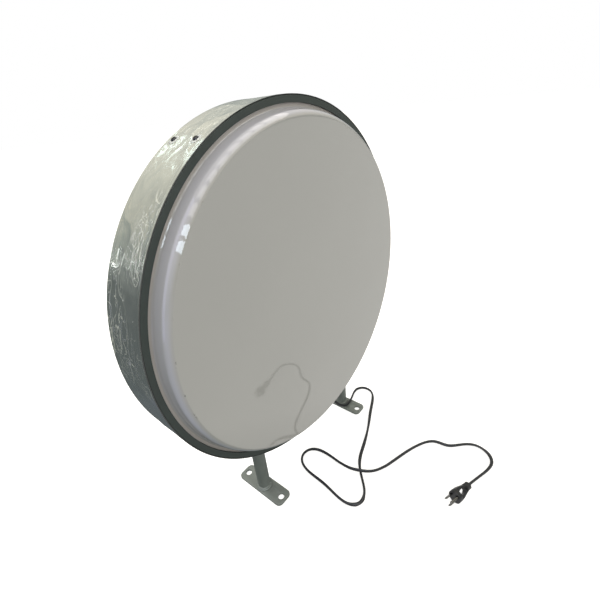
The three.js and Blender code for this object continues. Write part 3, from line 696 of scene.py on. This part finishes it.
def area_light(name, place, target, size, power, tint=(1, 1, 1), mirrored=False):
    """A soft panel that lights things, or one that shiny things only mirror."""
    data = bpy.data.lights.new(name, "AREA")
    data.shape = "RECTANGLE"
    data.size, data.size_y = size
    data.energy = power
    data.color = tint
    light = bpy.data.objects.new(name, data)
    light.location = place
    light.rotation_euler = (Vector(target) - Vector(place)).to_track_quat("-Z", "Y").to_euler()
    light.visible_diffuse = not mirrored
    light.visible_glossy = mirrored
    bpy.context.scene.collection.objects.link(light)
    return light


RIM_TILT = 80  # past this tilt a spot is on the band, and before it on the face's shoulder
SHOULDER = 0.91  # radius of the shoulder, as a share of the casing's


def bounced(eye, angle, tilt, y):
    """Where the eye's sight line leaves for when it meets the casing there."""
    turn, lean = math.radians(angle), math.radians(tilt)
    spot = towards(angle, RADIUS if tilt > RIM_TILT else RADIUS * SHOULDER, y)
    outwards = Vector((math.cos(turn), 0, math.sin(turn)))
    normal = outwards * math.sin(lean) - Vector((0, math.cos(lean), 0))
    sight = (spot - eye).normalized()
    return spot, sight - 2 * sight.dot(normal) * normal


def glint(name, eye, angle, tilt, y, distance, size, glow, tint=(1, 1, 1)):
    """A panel hung where the casing mirrors it to the eye, at an angle round it.

    The tilt is how far the surface there has turned from facing forwards to facing outwards.
    """
    spot, bounce = bounced(eye, angle, tilt, y)
    power = glow * math.pi * size[0] * size[1]
    light = area_light(name, spot + bounce * distance, spot, size, power, tint, mirrored=True)
    if tilt > RIM_TILT:
        rise = Vector((0, 1, 0))
    else:
        rise = bounced(eye, angle, tilt + 5, y)[1] - bounced(eye, angle, tilt - 5, y)[1]
    up = (rise - rise.dot(bounce) * bounce).normalized()
    light.rotation_euler = Matrix((up.cross(bounce), up, bounce)).transposed().to_euler()


CAMERA_PLACE = (-0.42615, -0.40693, 0.6746)
CAMERA_RIGHT = Vector((0.62954, -0.77139, -0.09297))
CAMERA_AHEAD = Vector((0.65617, 0.59192, -0.46805))
CAMERA_LENS = 21.72
FLOOR_SPAN, FLOOR_LEVEL = 60, -0.0002
PANES, WINDOWS = 9, 2

# The room's colours, from the height where each starts, up to straight overhead at 1.
ROOM = ((0.0, (0.15, 0.165, 0.17)), (0.25, (0.42, 0.45, 0.42)), (0.55, (0.92, 0.87, 0.76)))


class SIGN_OT_stage(Operator):
    """Sets the camera, the soft light and the white floor"""

    bl_idname = "sign.stage"
    bl_label = "Stage"

    def execute(self, context):
        camera = bpy.data.objects.new("camera", bpy.data.cameras.new("camera"))
        right, ahead = CAMERA_RIGHT.normalized(), CAMERA_AHEAD.normalized()
        up = right.cross(ahead).normalized()
        turn = Matrix((right, up, -ahead)).transposed().to_4x4()
        camera.matrix_world = Matrix.Translation(CAMERA_PLACE) @ turn
        camera.data.lens = CAMERA_LENS
        camera.data.sensor_width = 36
        camera.data.clip_start = 0.01
        context.scene.collection.objects.link(camera)
        context.scene.camera = camera
        context.scene.view_settings.view_transform = "Standard"

        deselect()
        bpy.ops.mesh.primitive_plane_add(size=FLOOR_SPAN, location=(0, 0, FLOOR_LEVEL))
        floor = named("floor")
        settle(floor)
        floor.data.materials.append(white_floor())

        world = bpy.data.worlds.new("studio")
        world.use_nodes = True
        context.scene.world = world
        nodes, links = world.node_tree.nodes, world.node_tree.links
        path = nodes.new("ShaderNodeLightPath")
        room = nodes.new("ShaderNodeTexCoord")
        height = nodes.new("ShaderNodeSeparateXYZ")
        links.new(room.outputs["Generated"], height.inputs[0])
        ramp = nodes.new("ShaderNodeValToRGB")
        steps = ramp.color_ramp.elements
        steps[0].position, steps[1].position = ROOM[0][0], ROOM[-1][0]
        steps.new(ROOM[1][0])
        for step, (_, shown) in zip(steps, ROOM):
            step.color = (*shown, 1)
        links.new(height.outputs["Z"], ramp.inputs[0])
        mix = nodes.new("ShaderNodeMix")
        mix.data_type = "RGBA"
        links.new(path.outputs["Is Camera Ray"], mix.inputs[0])
        links.new(ramp.outputs[0], mix.inputs[6])
        mix.inputs[7].default_value = (1, 1, 1, 1)
        links.new(mix.outputs[2], nodes["Background"].inputs["Color"])

        area_light("softbox", (0.5, -3.4, 1.3), (0, 0, 0.35), (2.6, 1.4), 24, (1.0, 0.98, 0.96))
        area_light("left sky", (-2.6, -0.6, 1.9), (0, 0, 0.4), (1.6, 1.6), 6, (0.88, 0.94, 1.0))
        area_light("skylight", (-0.5, 1.9, 3.2), (0, 0, 0.2), (2.2, 1.2), 62, (1.0, 0.98, 0.94))
        eye = camera.matrix_world.translation
        edge = -HALF_WIDTH - 18 * MM
        for i in range(PANES):
            glint(f"pane {i + 1}", eye, 97 + 4.8 * i, 48, edge, 1.2, (0.16, 1.0), 2.4, (1.0, 0.95, 0.90))
        for i in range(WINDOWS):
            glint(f"window {i + 1}", eye, 140.5 + 4 * i, 44, edge, 1.2, (0.13, 1.3), 8, (0.78, 0.90, 1.0))
        glint("lilac sky", eye, 150, 68, edge, 1.6, (2.6, 0.9), 1.5, (0.62, 0.62, 1.0))
        glint("cyan window", eye, 124, 90, -33 * MM, 2.6, (0.75, 0.05), 3.2, (0.80, 1.0, 1.0))
        glint("warm lamp", eye, 141, 90, 9 * MM, 2.4, (0.5, 0.05), 0.8, (1.0, 0.78, 0.50))
        glint("low warm lamp", eye, 147, 90, -12 * MM, 2.4, (0.4, 0.04), 0.7, (1.0, 0.78, 0.50))
        glint("bright lamp", eye, 151, 90, 15 * MM, 2.4, (0.16, 0.026), 16)
        return {"FINISHED"}


# ---- The lead ----

# The lead's control points, from the strain relief to the plug, in millimetres.
CORD_ROUTE = (
    (97.3, 0, 59), (100.8, 0, 47), (110, -11, 22), (127, -21, 8.4), (146, -22.4, 7.9),
    (166, -17.5, 8), (183, -10.5, 4.4), (202, -7.6, 3.6), (218, -22, 3.6), (216.5, -46, 3.6),
    (196, -62, 3.6), (153, -77, 3.6), (105, -100, 3.6), (57, -116, 3.6), (16, -126, 3.6),
    (-14, -151, 3.6), (-35, -173, 3.6), (-59, -182, 3.6), (-79, -168, 3.6), (-80, -140, 3.6),
    (-69, -98, 3.6), (-69, -56, 3.6), (-58, -27, 3.6), (-36, -17, 3.6), (-14, -28, 3.6),
    (-8, -56, 3.6), (-12, -94, 3.6), (-15, -124, 7.6), (-9, -148, 13.2), (6, -167, 7),
    (38, -182, 3.6), (88, -197, 3.6), (130, -215, 3.6), (156, -236, 3.6), (152, -265, 3.6),
    (175, -285, 3.6), (193, -308, 3.6), (188, -337, 3.6), (166, -353, 3.6), (136, -346, 3.6),
    (102, -333.4, 7), (83.7, -328.1, 9.2),
)

# Where the lead lies over on its flat side: the control point there, and how many points it spreads over.
CORD_FLAT_SPOTS = ((10.6, 1.1), (13.4, 0.9), (17.2, 0.6), (37.2, 1.0))


def spline_point(points, t, degree=3):
    """A point of a clamped, uniform cubic B-spline, by de Boor's rule."""
    spans = len(points) - degree
    knots = [0.0] * degree + [float(i) for i in range(spans + 1)] + [float(spans)] * degree
    k = min(int(t), spans - 1) + degree
    held = [Vector(points[j + k - degree]) for j in range(degree + 1)]
    for level in range(1, degree + 1):
        for j in range(degree, level - 1, -1):
            low = knots[j + k - degree]
            high = knots[j + 1 + k - level]
            share = (t - low) / (high - low)
            held[j] = held[j - 1].lerp(held[j], share)
    return held[degree]


def lead_section(width, thickness, corners=20):
    """The outline of a flat lead with three round cores side by side."""
    middle_core = thickness / 2
    side_core = thickness * 0.4
    side_place = width / 2 - side_core
    outline = []
    for i in range(corners):
        turn = 2 * math.pi * i / corners
        across = width / 2 * math.cos(turn)
        tall = math.sqrt(max(0.0, middle_core**2 - across**2))
        beside = math.sqrt(max(0.0, side_core**2 - (abs(across) - side_place) ** 2))
        outline.append((across, math.copysign(max(tall, beside), math.sin(turn))))
    return outline


class SIGN_OT_cord(Operator):
    """Makes the flat mains lead along its route on the floor"""

    bl_idname = "sign.cord"
    bl_label = "Mains lead"

    def execute(self, context):
        sizes = context.scene.sign_cord
        controls = [Vector(point) * MM for point in CORD_ROUTE]
        spans = len(controls) - 3
        count = sizes.steps
        line = [spline_point(controls, spans * i / count) for i in range(count + 1)]
        section = lead_section(sizes.width, sizes.thickness)
        lying = 5 * MM  # a middle lower than this belongs to a stretch that lies on the floor
        mesh = bmesh.new()
        rings, path = [], []
        for i, point in enumerate(line):
            ahead = (line[min(i + 1, count)] - line[max(i - 1, 0)]).normalized()
            side = ahead.cross(Vector((0, 0, 1))).normalized()
            up = side.cross(ahead).normalized()
            station = spans * i / count + 1
            flat = max(math.exp(-(((station - at) / spread) ** 2)) for at, spread in CORD_FLAT_SPOTS)
            lean = math.radians(90 * (1 - flat) + 8 * math.sin(station * 2.1))
            wide = side * math.cos(lean) + up * math.sin(lean)
            thin = up * math.cos(lean) - side * math.sin(lean)
            reach = math.hypot(sizes.width / 2 * math.sin(lean), sizes.thickness / 2 * math.cos(lean))
            on_floor = max(0.0, min(1.0, (lying - point.z) / MM))
            centre = point - Vector((0, 0, max(0.0, point.z - reach - 0.1 * MM) * on_floor))
            path.append(centre)
            rings.append([mesh.verts.new(centre + wide * a + thin * b) for a, b in section])
        for first, second in zip(rings, rings[1:]):
            for j in range(len(section)):
                k = (j + 1) % len(section)
                mesh.faces.new((first[j], first[k], second[k], second[j]))
        mesh.faces.new(rings[0][::-1])
        mesh.faces.new(rings[-1])
        bmesh.ops.recalc_face_normals(mesh, faces=mesh.faces)
        data = bpy.data.meshes.new("mains_lead")
        mesh.to_mesh(data)
        mesh.free()
        lead = bpy.data.objects.new("mains_lead", data)
        context.scene.collection.objects.link(lead)
        finish(lead, finishes["lead"], 40, replaces=["power_cord"])
        return {"FINISHED"}


# ---- The casing ----


class SIGN_OT_band(Operator):
    """Makes the sheet metal band under its creased film"""

    bl_idname = "sign.band"
    bl_label = "Casing band"

    def execute(self, context):
        sizes = context.scene.sign_casing
        inside = RADIUS - sizes.wall
        hem = sizes.hem
        rows = sizes.rows
        span = HALF_WIDTH - hem
        profile = [(inside, -HALF_WIDTH), (RADIUS, -HALF_WIDTH)]
        profile += [(RADIUS, -span + 2 * span * i / rows) for i in range(rows + 1)]
        profile += [(RADIUS, HALF_WIDTH), (inside, HALF_WIDTH)]
        band = turn_up("casing_band_filmed", profile, sizes.segments)
        settle(band, ring_place("front"))

        # The film stands off the sheet between the hems and lies flat along them.
        film = band.vertex_groups.new(name="film")
        puckers = [towards(angle, RADIUS, y) for angle, y in screw_places()]
        for vertex in band.data.vertices:
            outside = math.hypot(vertex.co.x, vertex.co.z - CENTRE.z) > RADIUS - sizes.wall / 2
            slack = max(0.0, 1 - abs(vertex.co.y) / span) if outside else 0.0
            near = min((vertex.co - place).length for place in puckers)
            held = max(0.0, min(1.0, (near - sizes.pucker) / sizes.pucker))
            film.add([vertex.index], min(1.0, slack * 4) * held, "REPLACE")
        for name, size, height in (("long creases", 0.062, 1.0), ("short creases", 0.019, 0.4)):
            texture = bpy.data.textures.new(name, "MUSGRAVE")
            texture.musgrave_type = "RIDGED_MULTIFRACTAL"
            texture.noise_scale = size
            texture.octaves = 3
            lift = band.modifiers.new(name, "DISPLACE")
            lift.texture = texture
            lift.texture_coords = "LOCAL"
            lift.vertex_group = film.name
            lift.mid_level = 1.0
            lift.strength = sizes.relief * height
        apply_modifiers(band)
        finish(band, finishes["film"], 60, replaces=["casing_band"])
        return {"FINISHED"}


def screw_places():
    """(angle, y) of every ring screw."""
    places = []
    for side in SIDES:
        for i in range(1, SCREWS_A_SIDE + 1):
            node = f"{side}_ring_screw_{i}"
            places.append((polar(node)[0], middle(node).y))
    return places


class SIGN_OT_rings(Operator):
    """Makes the two dark rings that hold the faces"""

    bl_idname = "sign.rings"
    bl_label = "Retaining rings"

    def execute(self, context):
        sizes = context.scene.sign_ring
        outer = RADIUS - context.scene.sign_casing.wall - sizes.clearance
        lip, wall, edge = sizes.lip_inner, sizes.thickness, sizes.edge
        for side in SIDES:
            front = HALF_WIDTH
            profile = [
                (lip, front - wall),
                *arc(lip + edge, front - edge, edge, 180, 90, 3),
                (lip + 2 * MM, front),
                (outer - 2 * MM, front),
                *arc(outer - edge, front - edge, edge, 90, 0, 3),
                (outer, front - sizes.skirt),
                (outer - wall, front - sizes.skirt),
                (outer - wall, front - wall),
            ]
            ring = turn_up(f"{side}_ring_painted", profile, 256)
            settle(ring, ring_place(side))
            finish(ring, finishes["ring"], 40, replaces=[f"{side}_retaining_ring"])
        return {"FINISHED"}


FACE_DRAFT = 8  # degrees that the wall leans back from straight out
FACE_CREASE = 64  # degrees where the tight crease goes over into the shoulder
FACE_MARGIN = 30 * MM  # from the edge of the flat to where its filled middle starts


class SIGN_OT_faces(Operator):
    """Makes the two raised opal faces"""

    bl_idname = "sign.faces"
    bl_label = "Opal faces"

    def execute(self, context):
        sizes = context.scene.sign_face
        wall, cove, corner, crease = sizes.wall, sizes.cove, sizes.corner, sizes.crease
        inner = sizes.flat - FACE_MARGIN
        for side in SIDES:
            low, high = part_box(f"{side}_face")
            top = max(abs(low.y), abs(high.y))
            flange = min(abs(low.y), abs(high.y)) + wall
            turn = math.radians(FACE_CREASE)
            shoulder = sizes.flat - (corner - crease) * math.cos(turn)
            fall = top - crease - (corner - crease) * math.sin(turn)
            profile = [
                (sizes.flange_edge, flange),
                (sizes.flange_inner + MM, flange),
                *arc(sizes.flange_inner, flange + cove, cove, 270, 180 + FACE_DRAFT, 6),
                *arc(shoulder, fall, corner, FACE_DRAFT, FACE_CREASE - 2, 9),
                *arc(sizes.flat, top - crease, crease, FACE_CREASE + 2, 90, 4),
                (sizes.flat - 2 * MM, top),
                (inner, top),
                (inner, top - wall),
                *arc(shoulder, fall, corner - wall, 90, FACE_DRAFT, 5),
                *arc(sizes.flange_inner, flange + cove, cove + wall, 180 + FACE_DRAFT, 270, 5),
                (sizes.flange_edge, flange - wall),
            ]
            face = turn_up(f"{side}_face_opal", profile, 256)
            into_edit(face)
            for height in (top, top - wall):
                choose(face, "edges", lambda a, b: all(
                    abs(p.z - height) < 0.1 * MM and math.hypot(p.x, p.y) < inner + 0.1 * MM for p in (a, b)
                ))
                bpy.ops.mesh.fill()
            choose(
                face, "edges",
                lambda a, b: abs(a.z - b.z) > wall * 0.9 and math.hypot(a.x, a.y) < inner + MM,
            )
            bpy.ops.mesh.delete(type="EDGE_FACE")
            out_of_edit()
            settle(face, ring_place(side))
            finish(face, finishes["acrylic"], 30, replaces=[f"{side}_face"])
        return {"FINISHED"}


class SIGN_OT_screws(Operator):
    """Makes the dark cross-head screws and the film gathered round them"""

    bl_idname = "sign.screws"
    bl_label = "Ring screws"

    def execute(self, context):
        sizes = context.scene.sign_screw
        pucker = context.scene.sign_casing.pucker
        head, height = sizes.head / 2, sizes.height
        seat = 0.2 * MM  # the head's underside, off the sheet
        for side in SIDES:
            for i in range(1, SCREWS_A_SIDE + 1):
                node = f"{side}_ring_screw_{i}"
                angle, y = polar(node)[0], middle(node).y
                profile = [
                    (0.4 * MM, -6 * MM),
                    (2.0 * MM, -5 * MM),
                    (2.0 * MM, seat),
                    (head, seat),
                    (head, seat + height * 0.35),
                    *arc(head - 1.6 * MM, seat + height - 1.5 * MM, 1.5 * MM, 25, 90, 4),
                    (0.4 * MM, seat + height),
                ]
                screw = turn_up(f"{node}_cross_head", profile, 32)
                close_ends(screw)
                for turn in (0, 90):
                    deselect()
                    bpy.ops.mesh.primitive_cube_add(size=1, location=(0, 0, seat + height))
                    arm = named("arm")
                    arm.scale = (head * 1.3, sizes.recess, height * 1.1)
                    arm.rotation_euler.z = math.radians(turn + 20 * i)
                    settle(arm)
                    drill(screw, arm)
                settle(screw, rim_place(angle, RADIUS, y))
                finish(screw, finishes["screw"], 40, replaces=[node])

                film = gathered_film(f"{node}_film", head, pucker, i)
                settle(film, rim_place(angle, RADIUS, y))
                finish(film, finishes["gathered"], 25)
        return {"FINISHED"}


def close_ends(obj):
    into_edit(obj)
    bpy.ops.mesh.select_mode(type="EDGE")
    bpy.ops.mesh.select_non_manifold()
    bpy.ops.mesh.fill_holes(sides=0)
    out_of_edit()
    outside_out(obj)


FILM_FOLDS = 22


def gathered_film(name, hole, reach, turn):
    """A flat ring of film drawn into sharp folds that fan out from a screw."""
    creases = 2 * FILM_FOLDS
    rings = [(hole * 1.02, 0.1), (hole * 1.2, 0.9), (reach * 0.72, 1.25), (reach * 0.9, 0.6), (reach, 0.0)]
    profile = [(r, 0.25 * MM + 0.6 * MM * lift) for r, lift in rings]
    under = [(r, -0.6 * MM) for r, _ in reversed(rings)]
    film = turn_up(name, profile + under, creases)
    for vertex in film.data.vertices:
        if vertex.co.z < 0.2 * MM:
            continue
        around = math.atan2(vertex.co.y, vertex.co.x)
        out = math.hypot(vertex.co.x, vertex.co.y) / reach
        fold = round(around / (2 * math.pi) * creases)
        uneven = 0.55 + 0.45 * math.sin(fold * 2.7 + turn * 1.9)
        drop = 0.7 * MM * uneven * min(1.0, 4 * (1 - out)) if fold % 2 else 0.0
        vertex.co.z = max(0.05 * MM, vertex.co.z - drop)
        skew = 1 + 0.16 * math.sin(fold * 1.3 + turn)
        vertex.co.x *= skew
        vertex.co.y *= skew
    return film


# ---- The legs ----


WELD_RIPPLES = 26


class SIGN_OT_legs(Operator):
    """Makes the leg tubes, the welds and the drilled foot plates"""

    bl_idname = "sign.legs"
    bl_label = "Legs"

    def execute(self, context):
        sizes = context.scene.sign_leg
        for side in LEGS:
            x = middle(f"{side}_leg_tube").x
            self.make_tube(side, x, sizes)
            self.make_weld(side, x, sizes)
            self.make_plate(side, sizes)
        return {"FINISHED"}

    def make_tube(self, side, x, sizes):
        low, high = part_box(f"{side}_leg_tube")
        outer, inner = sizes.tube / 2, sizes.tube / 2 - sizes.wall
        profile = [(outer, low.z), (outer, high.z), (inner, high.z), (inner, low.z)]
        tube = turn_up(f"{side}_leg_painted", profile, 64)
        settle(tube, Matrix.Translation((x, 0, 0)))
        finish(tube, finishes["leg"], 40, replaces=[f"{side}_leg_tube"])

    def make_weld(self, side, x, sizes):
        low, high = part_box(f"{side}_foot_weld")
        inner = sizes.tube / 2 + 0.1 * MM
        outer = (high.x - low.x) / 2
        foot, top = low.z - 0.15 * MM, high.z
        rise = top - foot
        profile = [
            (inner, foot),
            (outer, foot),
            *arc(outer - 1.3 * MM, foot + 1.2 * MM, 1.3 * MM, 0, 80, 4),
            (outer - 1.55 * MM, foot + rise * 0.50),
            *arc(outer - 2.5 * MM, foot + rise * 0.62, 1.0 * MM, 10, 85, 4),
            (inner + 0.5 * MM, top),
            (inner, top),
        ]
        weld = turn_up(f"{side}_weld_painted", profile, 96)

        def ripple(around, out, height):
            if out < inner + 0.2 * MM or height < foot + 0.1 * MM:
                return 1
            return 1 - 0.012 * (1 + math.sin(WELD_RIPPLES * around + 1.4 * math.sin(3 * around)))

        swell(weld, ripple)
        settle(weld, Matrix.Translation((x, 0, 0)))
        finish(weld, finishes["leg"], 60, replaces=[f"{side}_foot_weld"])

    def make_plate(self, side, sizes):
        low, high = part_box(f"{side}_foot_plate")
        centre, size = (low + high) / 2, high - low
        deselect()
        bpy.ops.mesh.primitive_cube_add(size=1, location=centre)
        plate = named(f"{side}_foot_painted")
        plate.scale = size
        settle(plate)
        into_edit(plate)
        choose(plate, "edges", lambda a, b: abs(a.z - b.z) > size.z / 2)
        bpy.ops.mesh.bevel(offset=sizes.corner, segments=14, offset_type="OFFSET")
        out_of_edit()
        for end in (-1, 1):
            deselect()
            bpy.ops.mesh.primitive_cylinder_add(
                vertices=64, radius=sizes.hole / 2, depth=4 * size.z,
                location=(centre.x, end * sizes.hole_spacing / 2, centre.z),
            )
            drill(plate, settle(named("drill")))
        bevel(plate, sizes.edge, 2, 50)
        finish(plate, finishes["leg"], 35, replaces=[f"{side}_foot_plate"])


# ---- The gland and its strain relief ----


class SIGN_OT_gland(Operator):
    """Makes the cable gland, its ribbed dome nut and the grooved strain relief"""

    bl_idname = "sign.gland"
    bl_label = "Cable gland"

    def execute(self, context):
        sizes = context.scene.sign_gland
        angle = polar("gland_dome_nut")[0]

        def along(node):
            """Where a node starts and ends on the gland's axis, out from the rim."""
            turn = math.radians(angle)
            axis = Vector((math.cos(turn), 0, math.sin(turn)))
            spread = [(v.co - CENTRE).dot(axis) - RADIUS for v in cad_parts[node].data.vertices]
            return min(spread), max(spread)

        place = rim_place(angle, RADIUS, 0)
        body_low, body_high = along("gland_body")
        nut_low, nut_high = along("gland_dome_nut")
        boot_low, boot_high = along("cord_boot")
        corner = sizes.hexagon / 2 / math.cos(math.radians(30))

        deselect()
        depth = nut_low - 0.5 * MM
        bpy.ops.mesh.primitive_cylinder_add(
            vertices=6, radius=corner, depth=depth, location=(0, 0, 0.3 * MM + depth / 2)
        )
        flange = settle(named("gland_hexagon"))
        bevel(flange, 0.7 * MM, 3, 50)
        bore, root, crest, pitch = 4.5 * MM, 7.1 * MM, 7.8 * MM, 1.5 * MM
        profile = [(bore, body_low)]
        for i in range(int((0.3 * MM - body_low) / pitch)):
            at = body_low + pitch * i
            profile += [(root, at), (crest, at + 0.5 * MM), (crest, at + 0.8 * MM), (root, at + 1.4 * MM)]
        profile += [(7.0 * MM, 0.4 * MM), (7.0 * MM, body_high), (bore, body_high)]
        stub = turn_up("gland_thread", profile, 48)
        for piece, nodes in ((flange, ["gland_body"]), (stub, [])):
            settle(piece, place)
            finish(piece, finishes["nylon"], 35, replaces=nodes)

        self.make_dome(sizes, place, nut_low, nut_high)
        self.make_boot(sizes, place, nut_high, boot_low, boot_high)
        return {"FINISHED"}

    def make_dome(self, sizes, place, low, high):
        outer = sizes.dome / 2
        straight = low + (high - low) * 0.6
        profile = [
            (7.3 * MM, low),
            (outer - 0.5 * MM, low),
            (outer, low + 0.5 * MM),
            (outer, straight - 1.0 * MM),
            (outer - 0.4 * MM, straight),
            *arc(outer - 5.0 * MM, straight, 4.6 * MM, 10, 78, 6),
            (5.9 * MM, high),
            (5.8 * MM, high - 1.2 * MM),
            (5.8 * MM, low + 6.5 * MM),
            (7.3 * MM, low + 6.5 * MM),
        ]
        dome = turn_up("gland_dome_ribbed", profile, sizes.ribs * 8)

        def groove(around, out, height):
            return 1 - 0.055 * max(0.0, math.cos(sizes.ribs * around)) ** 2 if out > outer - 0.6 * MM else 1

        swell(dome, groove)
        settle(dome, place)
        finish(dome, finishes["nylon"], 35, replaces=["gland_dome_nut"])

    def make_boot(self, sizes, place, nut_top, low, high):
        root, tip = sizes.boot_root / 2, sizes.boot_tip / 2
        bore = 3.8 * MM
        foot = nut_top + 0.2 * MM
        profile = [
            (bore, low), (5.5 * MM, low), (5.5 * MM, foot), (root - 0.4 * MM, foot), (root, foot + 0.4 * MM),
        ]
        pitch = (high - foot - 3 * MM) / sizes.grooves
        for i in range(sizes.grooves):
            at = foot + 1.6 * MM + pitch * i
            outer = root + (tip - root) * (at - foot) / (high - foot)
            profile += [
                (outer, at),
                (outer - 0.15 * MM, at + pitch * 0.40),
                (outer - 1.5 * MM, at + pitch * 0.52),
                (outer - 1.5 * MM, at + pitch * 0.74),
                (outer - 0.3 * MM, at + pitch * 0.88),
            ]
        profile += [(tip, high - 1.0 * MM), (tip - 0.4 * MM, high), (bore, high)]
        boot = turn_up("strain_relief_grooved", profile, 48)
        settle(boot, place)
        finish(boot, finishes["lead"], 35, replaces=["cord_boot"])


# ---- The plug ----


class SIGN_OT_plug(Operator):
    """Makes the moulded plug with its finger loop, its two blades and its earth pin"""

    bl_idname = "sign.plug"
    bl_label = "Plug"

    def execute(self, context):
        sizes = context.scene.sign_plug
        place = Matrix.Translation(sizes.face) @ Euler(sizes.turn, "XYZ").to_matrix().to_4x4()
        self.make_body(sizes, place)
        self.make_tail(sizes, place)
        for side, sign in (("left", -1), ("right", 1)):
            self.make_blade(sizes, place, side, sign * sizes.blade_spacing / 2)
        self.make_earth_pin(sizes, place)
        return {"FINISHED"}

    def make_body(self, sizes, place):
        deselect()
        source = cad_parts["plug_body"]
        body = bpy.data.objects.new("plug_body_moulded", source.data.copy())
        bpy.context.scene.collection.objects.link(body)
        outside_out(body)
        soften = body.modifiers.new("one skin", "REMESH")
        soften.mode = "VOXEL"
        soften.voxel_size = 0.42 * MM
        smooth = body.modifiers.new("moulded corners", "SMOOTH")
        smooth.factor = 0.5
        smooth.iterations = 9
        apply_modifiers(body)
        finish(body, finishes["plug"], 60, replaces=["plug_body"])

    def make_tail(self, sizes, place):
        """The ribbed strain relief that runs back from the plug onto the lead."""
        end = sizes.length
        profile = [(3.4 * MM, end - 12 * MM), (6.4 * MM, end - 12 * MM)]
        for i in range(4):
            at = end - 11 * MM + 2.7 * MM * i
            outer = (7.6 - 0.55 * i) * MM
            profile += [
                (outer - 1.1 * MM, at),
                (outer, at + 0.45 * MM),
                (outer, at + 1.6 * MM),
                (outer - 1.1 * MM, at + 2.05 * MM),
            ]
        profile += [(4.6 * MM, end), (3.4 * MM, end)]
        tail = turn_up("plug_tail_ribbed", profile, 48)
        settle(tail, place @ Matrix.Rotation(math.radians(-90), 4, "Y"))
        finish(tail, finishes["plug"], 35)

    def make_blade(self, sizes, place, side, y):
        deselect()
        buried = 3 * MM
        length_ = sizes.blade_length + buried
        centre = (sizes.blade_length - length_ / 2, y, -sizes.blade_drop)
        bpy.ops.mesh.primitive_cube_add(size=1, location=centre)
        blade = named(f"plug_blade_{side}_plated")
        blade.scale = (length_, sizes.blade_thickness, sizes.blade_width)
        settle(blade)
        into_edit(blade)
        tip = sizes.blade_length - MM
        choose(blade, "edges", lambda a, b: min(a.x, b.x) > tip and abs(a.y - b.y) > 0.5 * MM)
        bpy.ops.mesh.bevel(offset=1.4 * MM, segments=4)
        out_of_edit()
        deselect()
        eye = (sizes.blade_length - 3.3 * MM, y, -sizes.blade_drop)
        bpy.ops.mesh.primitive_cylinder_add(
            vertices=32, radius=1.5 * MM, depth=10 * MM, location=eye, rotation=(math.radians(90), 0, 0)
        )
        drill(blade, settle(named("eye")))
        bevel(blade, 0.18 * MM, 2, 50)
        settle(blade, place)
        finish(blade, finishes["pins"], 35, replaces=[f"plug_blade_{side}"])

    def make_earth_pin(self, sizes, place):
        radius = sizes.earth_diameter / 2
        end = sizes.earth_length
        profile = [
            (radius * 0.5, -3 * MM),
            (radius, -3 * MM),
            (radius, end - radius),
            *arc(0, end - radius, radius, 15, 80, 6),
        ]
        pin = turn_up("plug_earth_plated", profile, 32, closed=False)
        close_ends(pin)
        upright = Matrix.Translation((0, 0, sizes.earth_offset - sizes.blade_drop))
        settle(pin, place @ upright @ Matrix.Rotation(math.radians(90), 4, "Y"))
        finish(pin, finishes["pins"], 35, replaces=["plug_earth_pin"])


# ---- What stays as the frame has it ----

INNER_FINISHES = {
    "foam": ("front_gasket", "back_gasket"),
    "aluminium": (
        "front_stop_ring", "back_stop_ring", "led_driver", *(f"panel_bracket_{i}" for i in range(1, 5)),
    ),
    "white": ("led_panel",),
    "board": tuple(f"{side}_led_bar_{i}" for side in SIDES for i in range(1, 5)),
    "terminal": ("terminal_block",),
    "nylon": ("gland_locknut",),
    "lead": ("mains_inner_lead", "driver_feed_lead", "led_supply_lead"),
    "earth": ("earth_lead",),
    "zinc": (
        "base_stiffener", "earth_screw",
        *(f"{leg}_leg_{part}" for leg in LEGS for part in ("socket", "bolt", "nut")),
    ),
}


class SIGN_OT_inner_pieces(Operator):
    """Gives the pieces inside the casing their finishes"""

    bl_idname = "sign.inner_pieces"
    bl_label = "Inner pieces"

    def execute(self, context):
        for name, nodes in INNER_FINISHES.items():
            for node in nodes:
                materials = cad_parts[node].data.materials
                materials.clear()
                materials.append(finishes[name])
        return {"FINISHED"}


class SIGN_OT_finishes(Operator):
    """Mixes the finishes from the chosen colours"""

    bl_idname = "sign.finishes"
    bl_label = "Finishes"

    def execute(self, context):
        mix_the_finishes(context.scene.sign_colours)
        return {"FINISHED"}


# ---- Panel and registration ----

STEPS = (
    SIGN_OT_finishes, SIGN_OT_stage, SIGN_OT_plug, SIGN_OT_cord, SIGN_OT_band, SIGN_OT_rings, SIGN_OT_faces,
    SIGN_OT_screws, SIGN_OT_legs, SIGN_OT_gland, SIGN_OT_inner_pieces,
)


class SIGN_PT_sidebar(Panel):
    """Lists the steps and the sizes of the sign"""

    bl_idname = "SIGN_PT_sidebar"
    bl_label = "Light-box sign"
    bl_space_type = "VIEW_3D"
    bl_region_type = "UI"
    bl_category = "Sign"

    def draw(self, context):
        for step in STEPS:
            self.layout.operator(step.bl_idname)
        for group in GROUPS:
            box = self.layout.box()
            for key in getattr(context.scene, group).bl_rna.properties.keys():
                if key not in ("rna_type", "name"):
                    box.prop(getattr(context.scene, group), key)


def register():
    for group in GROUPS.values():
        bpy.utils.register_class(group)
    for name, group in GROUPS.items():
        setattr(bpy.types.Scene, name, PointerProperty(type=group))
    for step in STEPS:
        bpy.utils.register_class(step)
    bpy.utils.register_class(SIGN_PT_sidebar)


def unregister():
    bpy.utils.unregister_class(SIGN_PT_sidebar)
    for step in reversed(STEPS):
        bpy.utils.unregister_class(step)
    for name, group in GROUPS.items():
        delattr(bpy.types.Scene, name)
        bpy.utils.unregister_class(group)


def main():
    register()
    for step in STEPS:
        group, name = step.bl_idname.split(".")
        getattr(getattr(bpy.ops, group), name)()


if __name__ == "__main__":
    main()
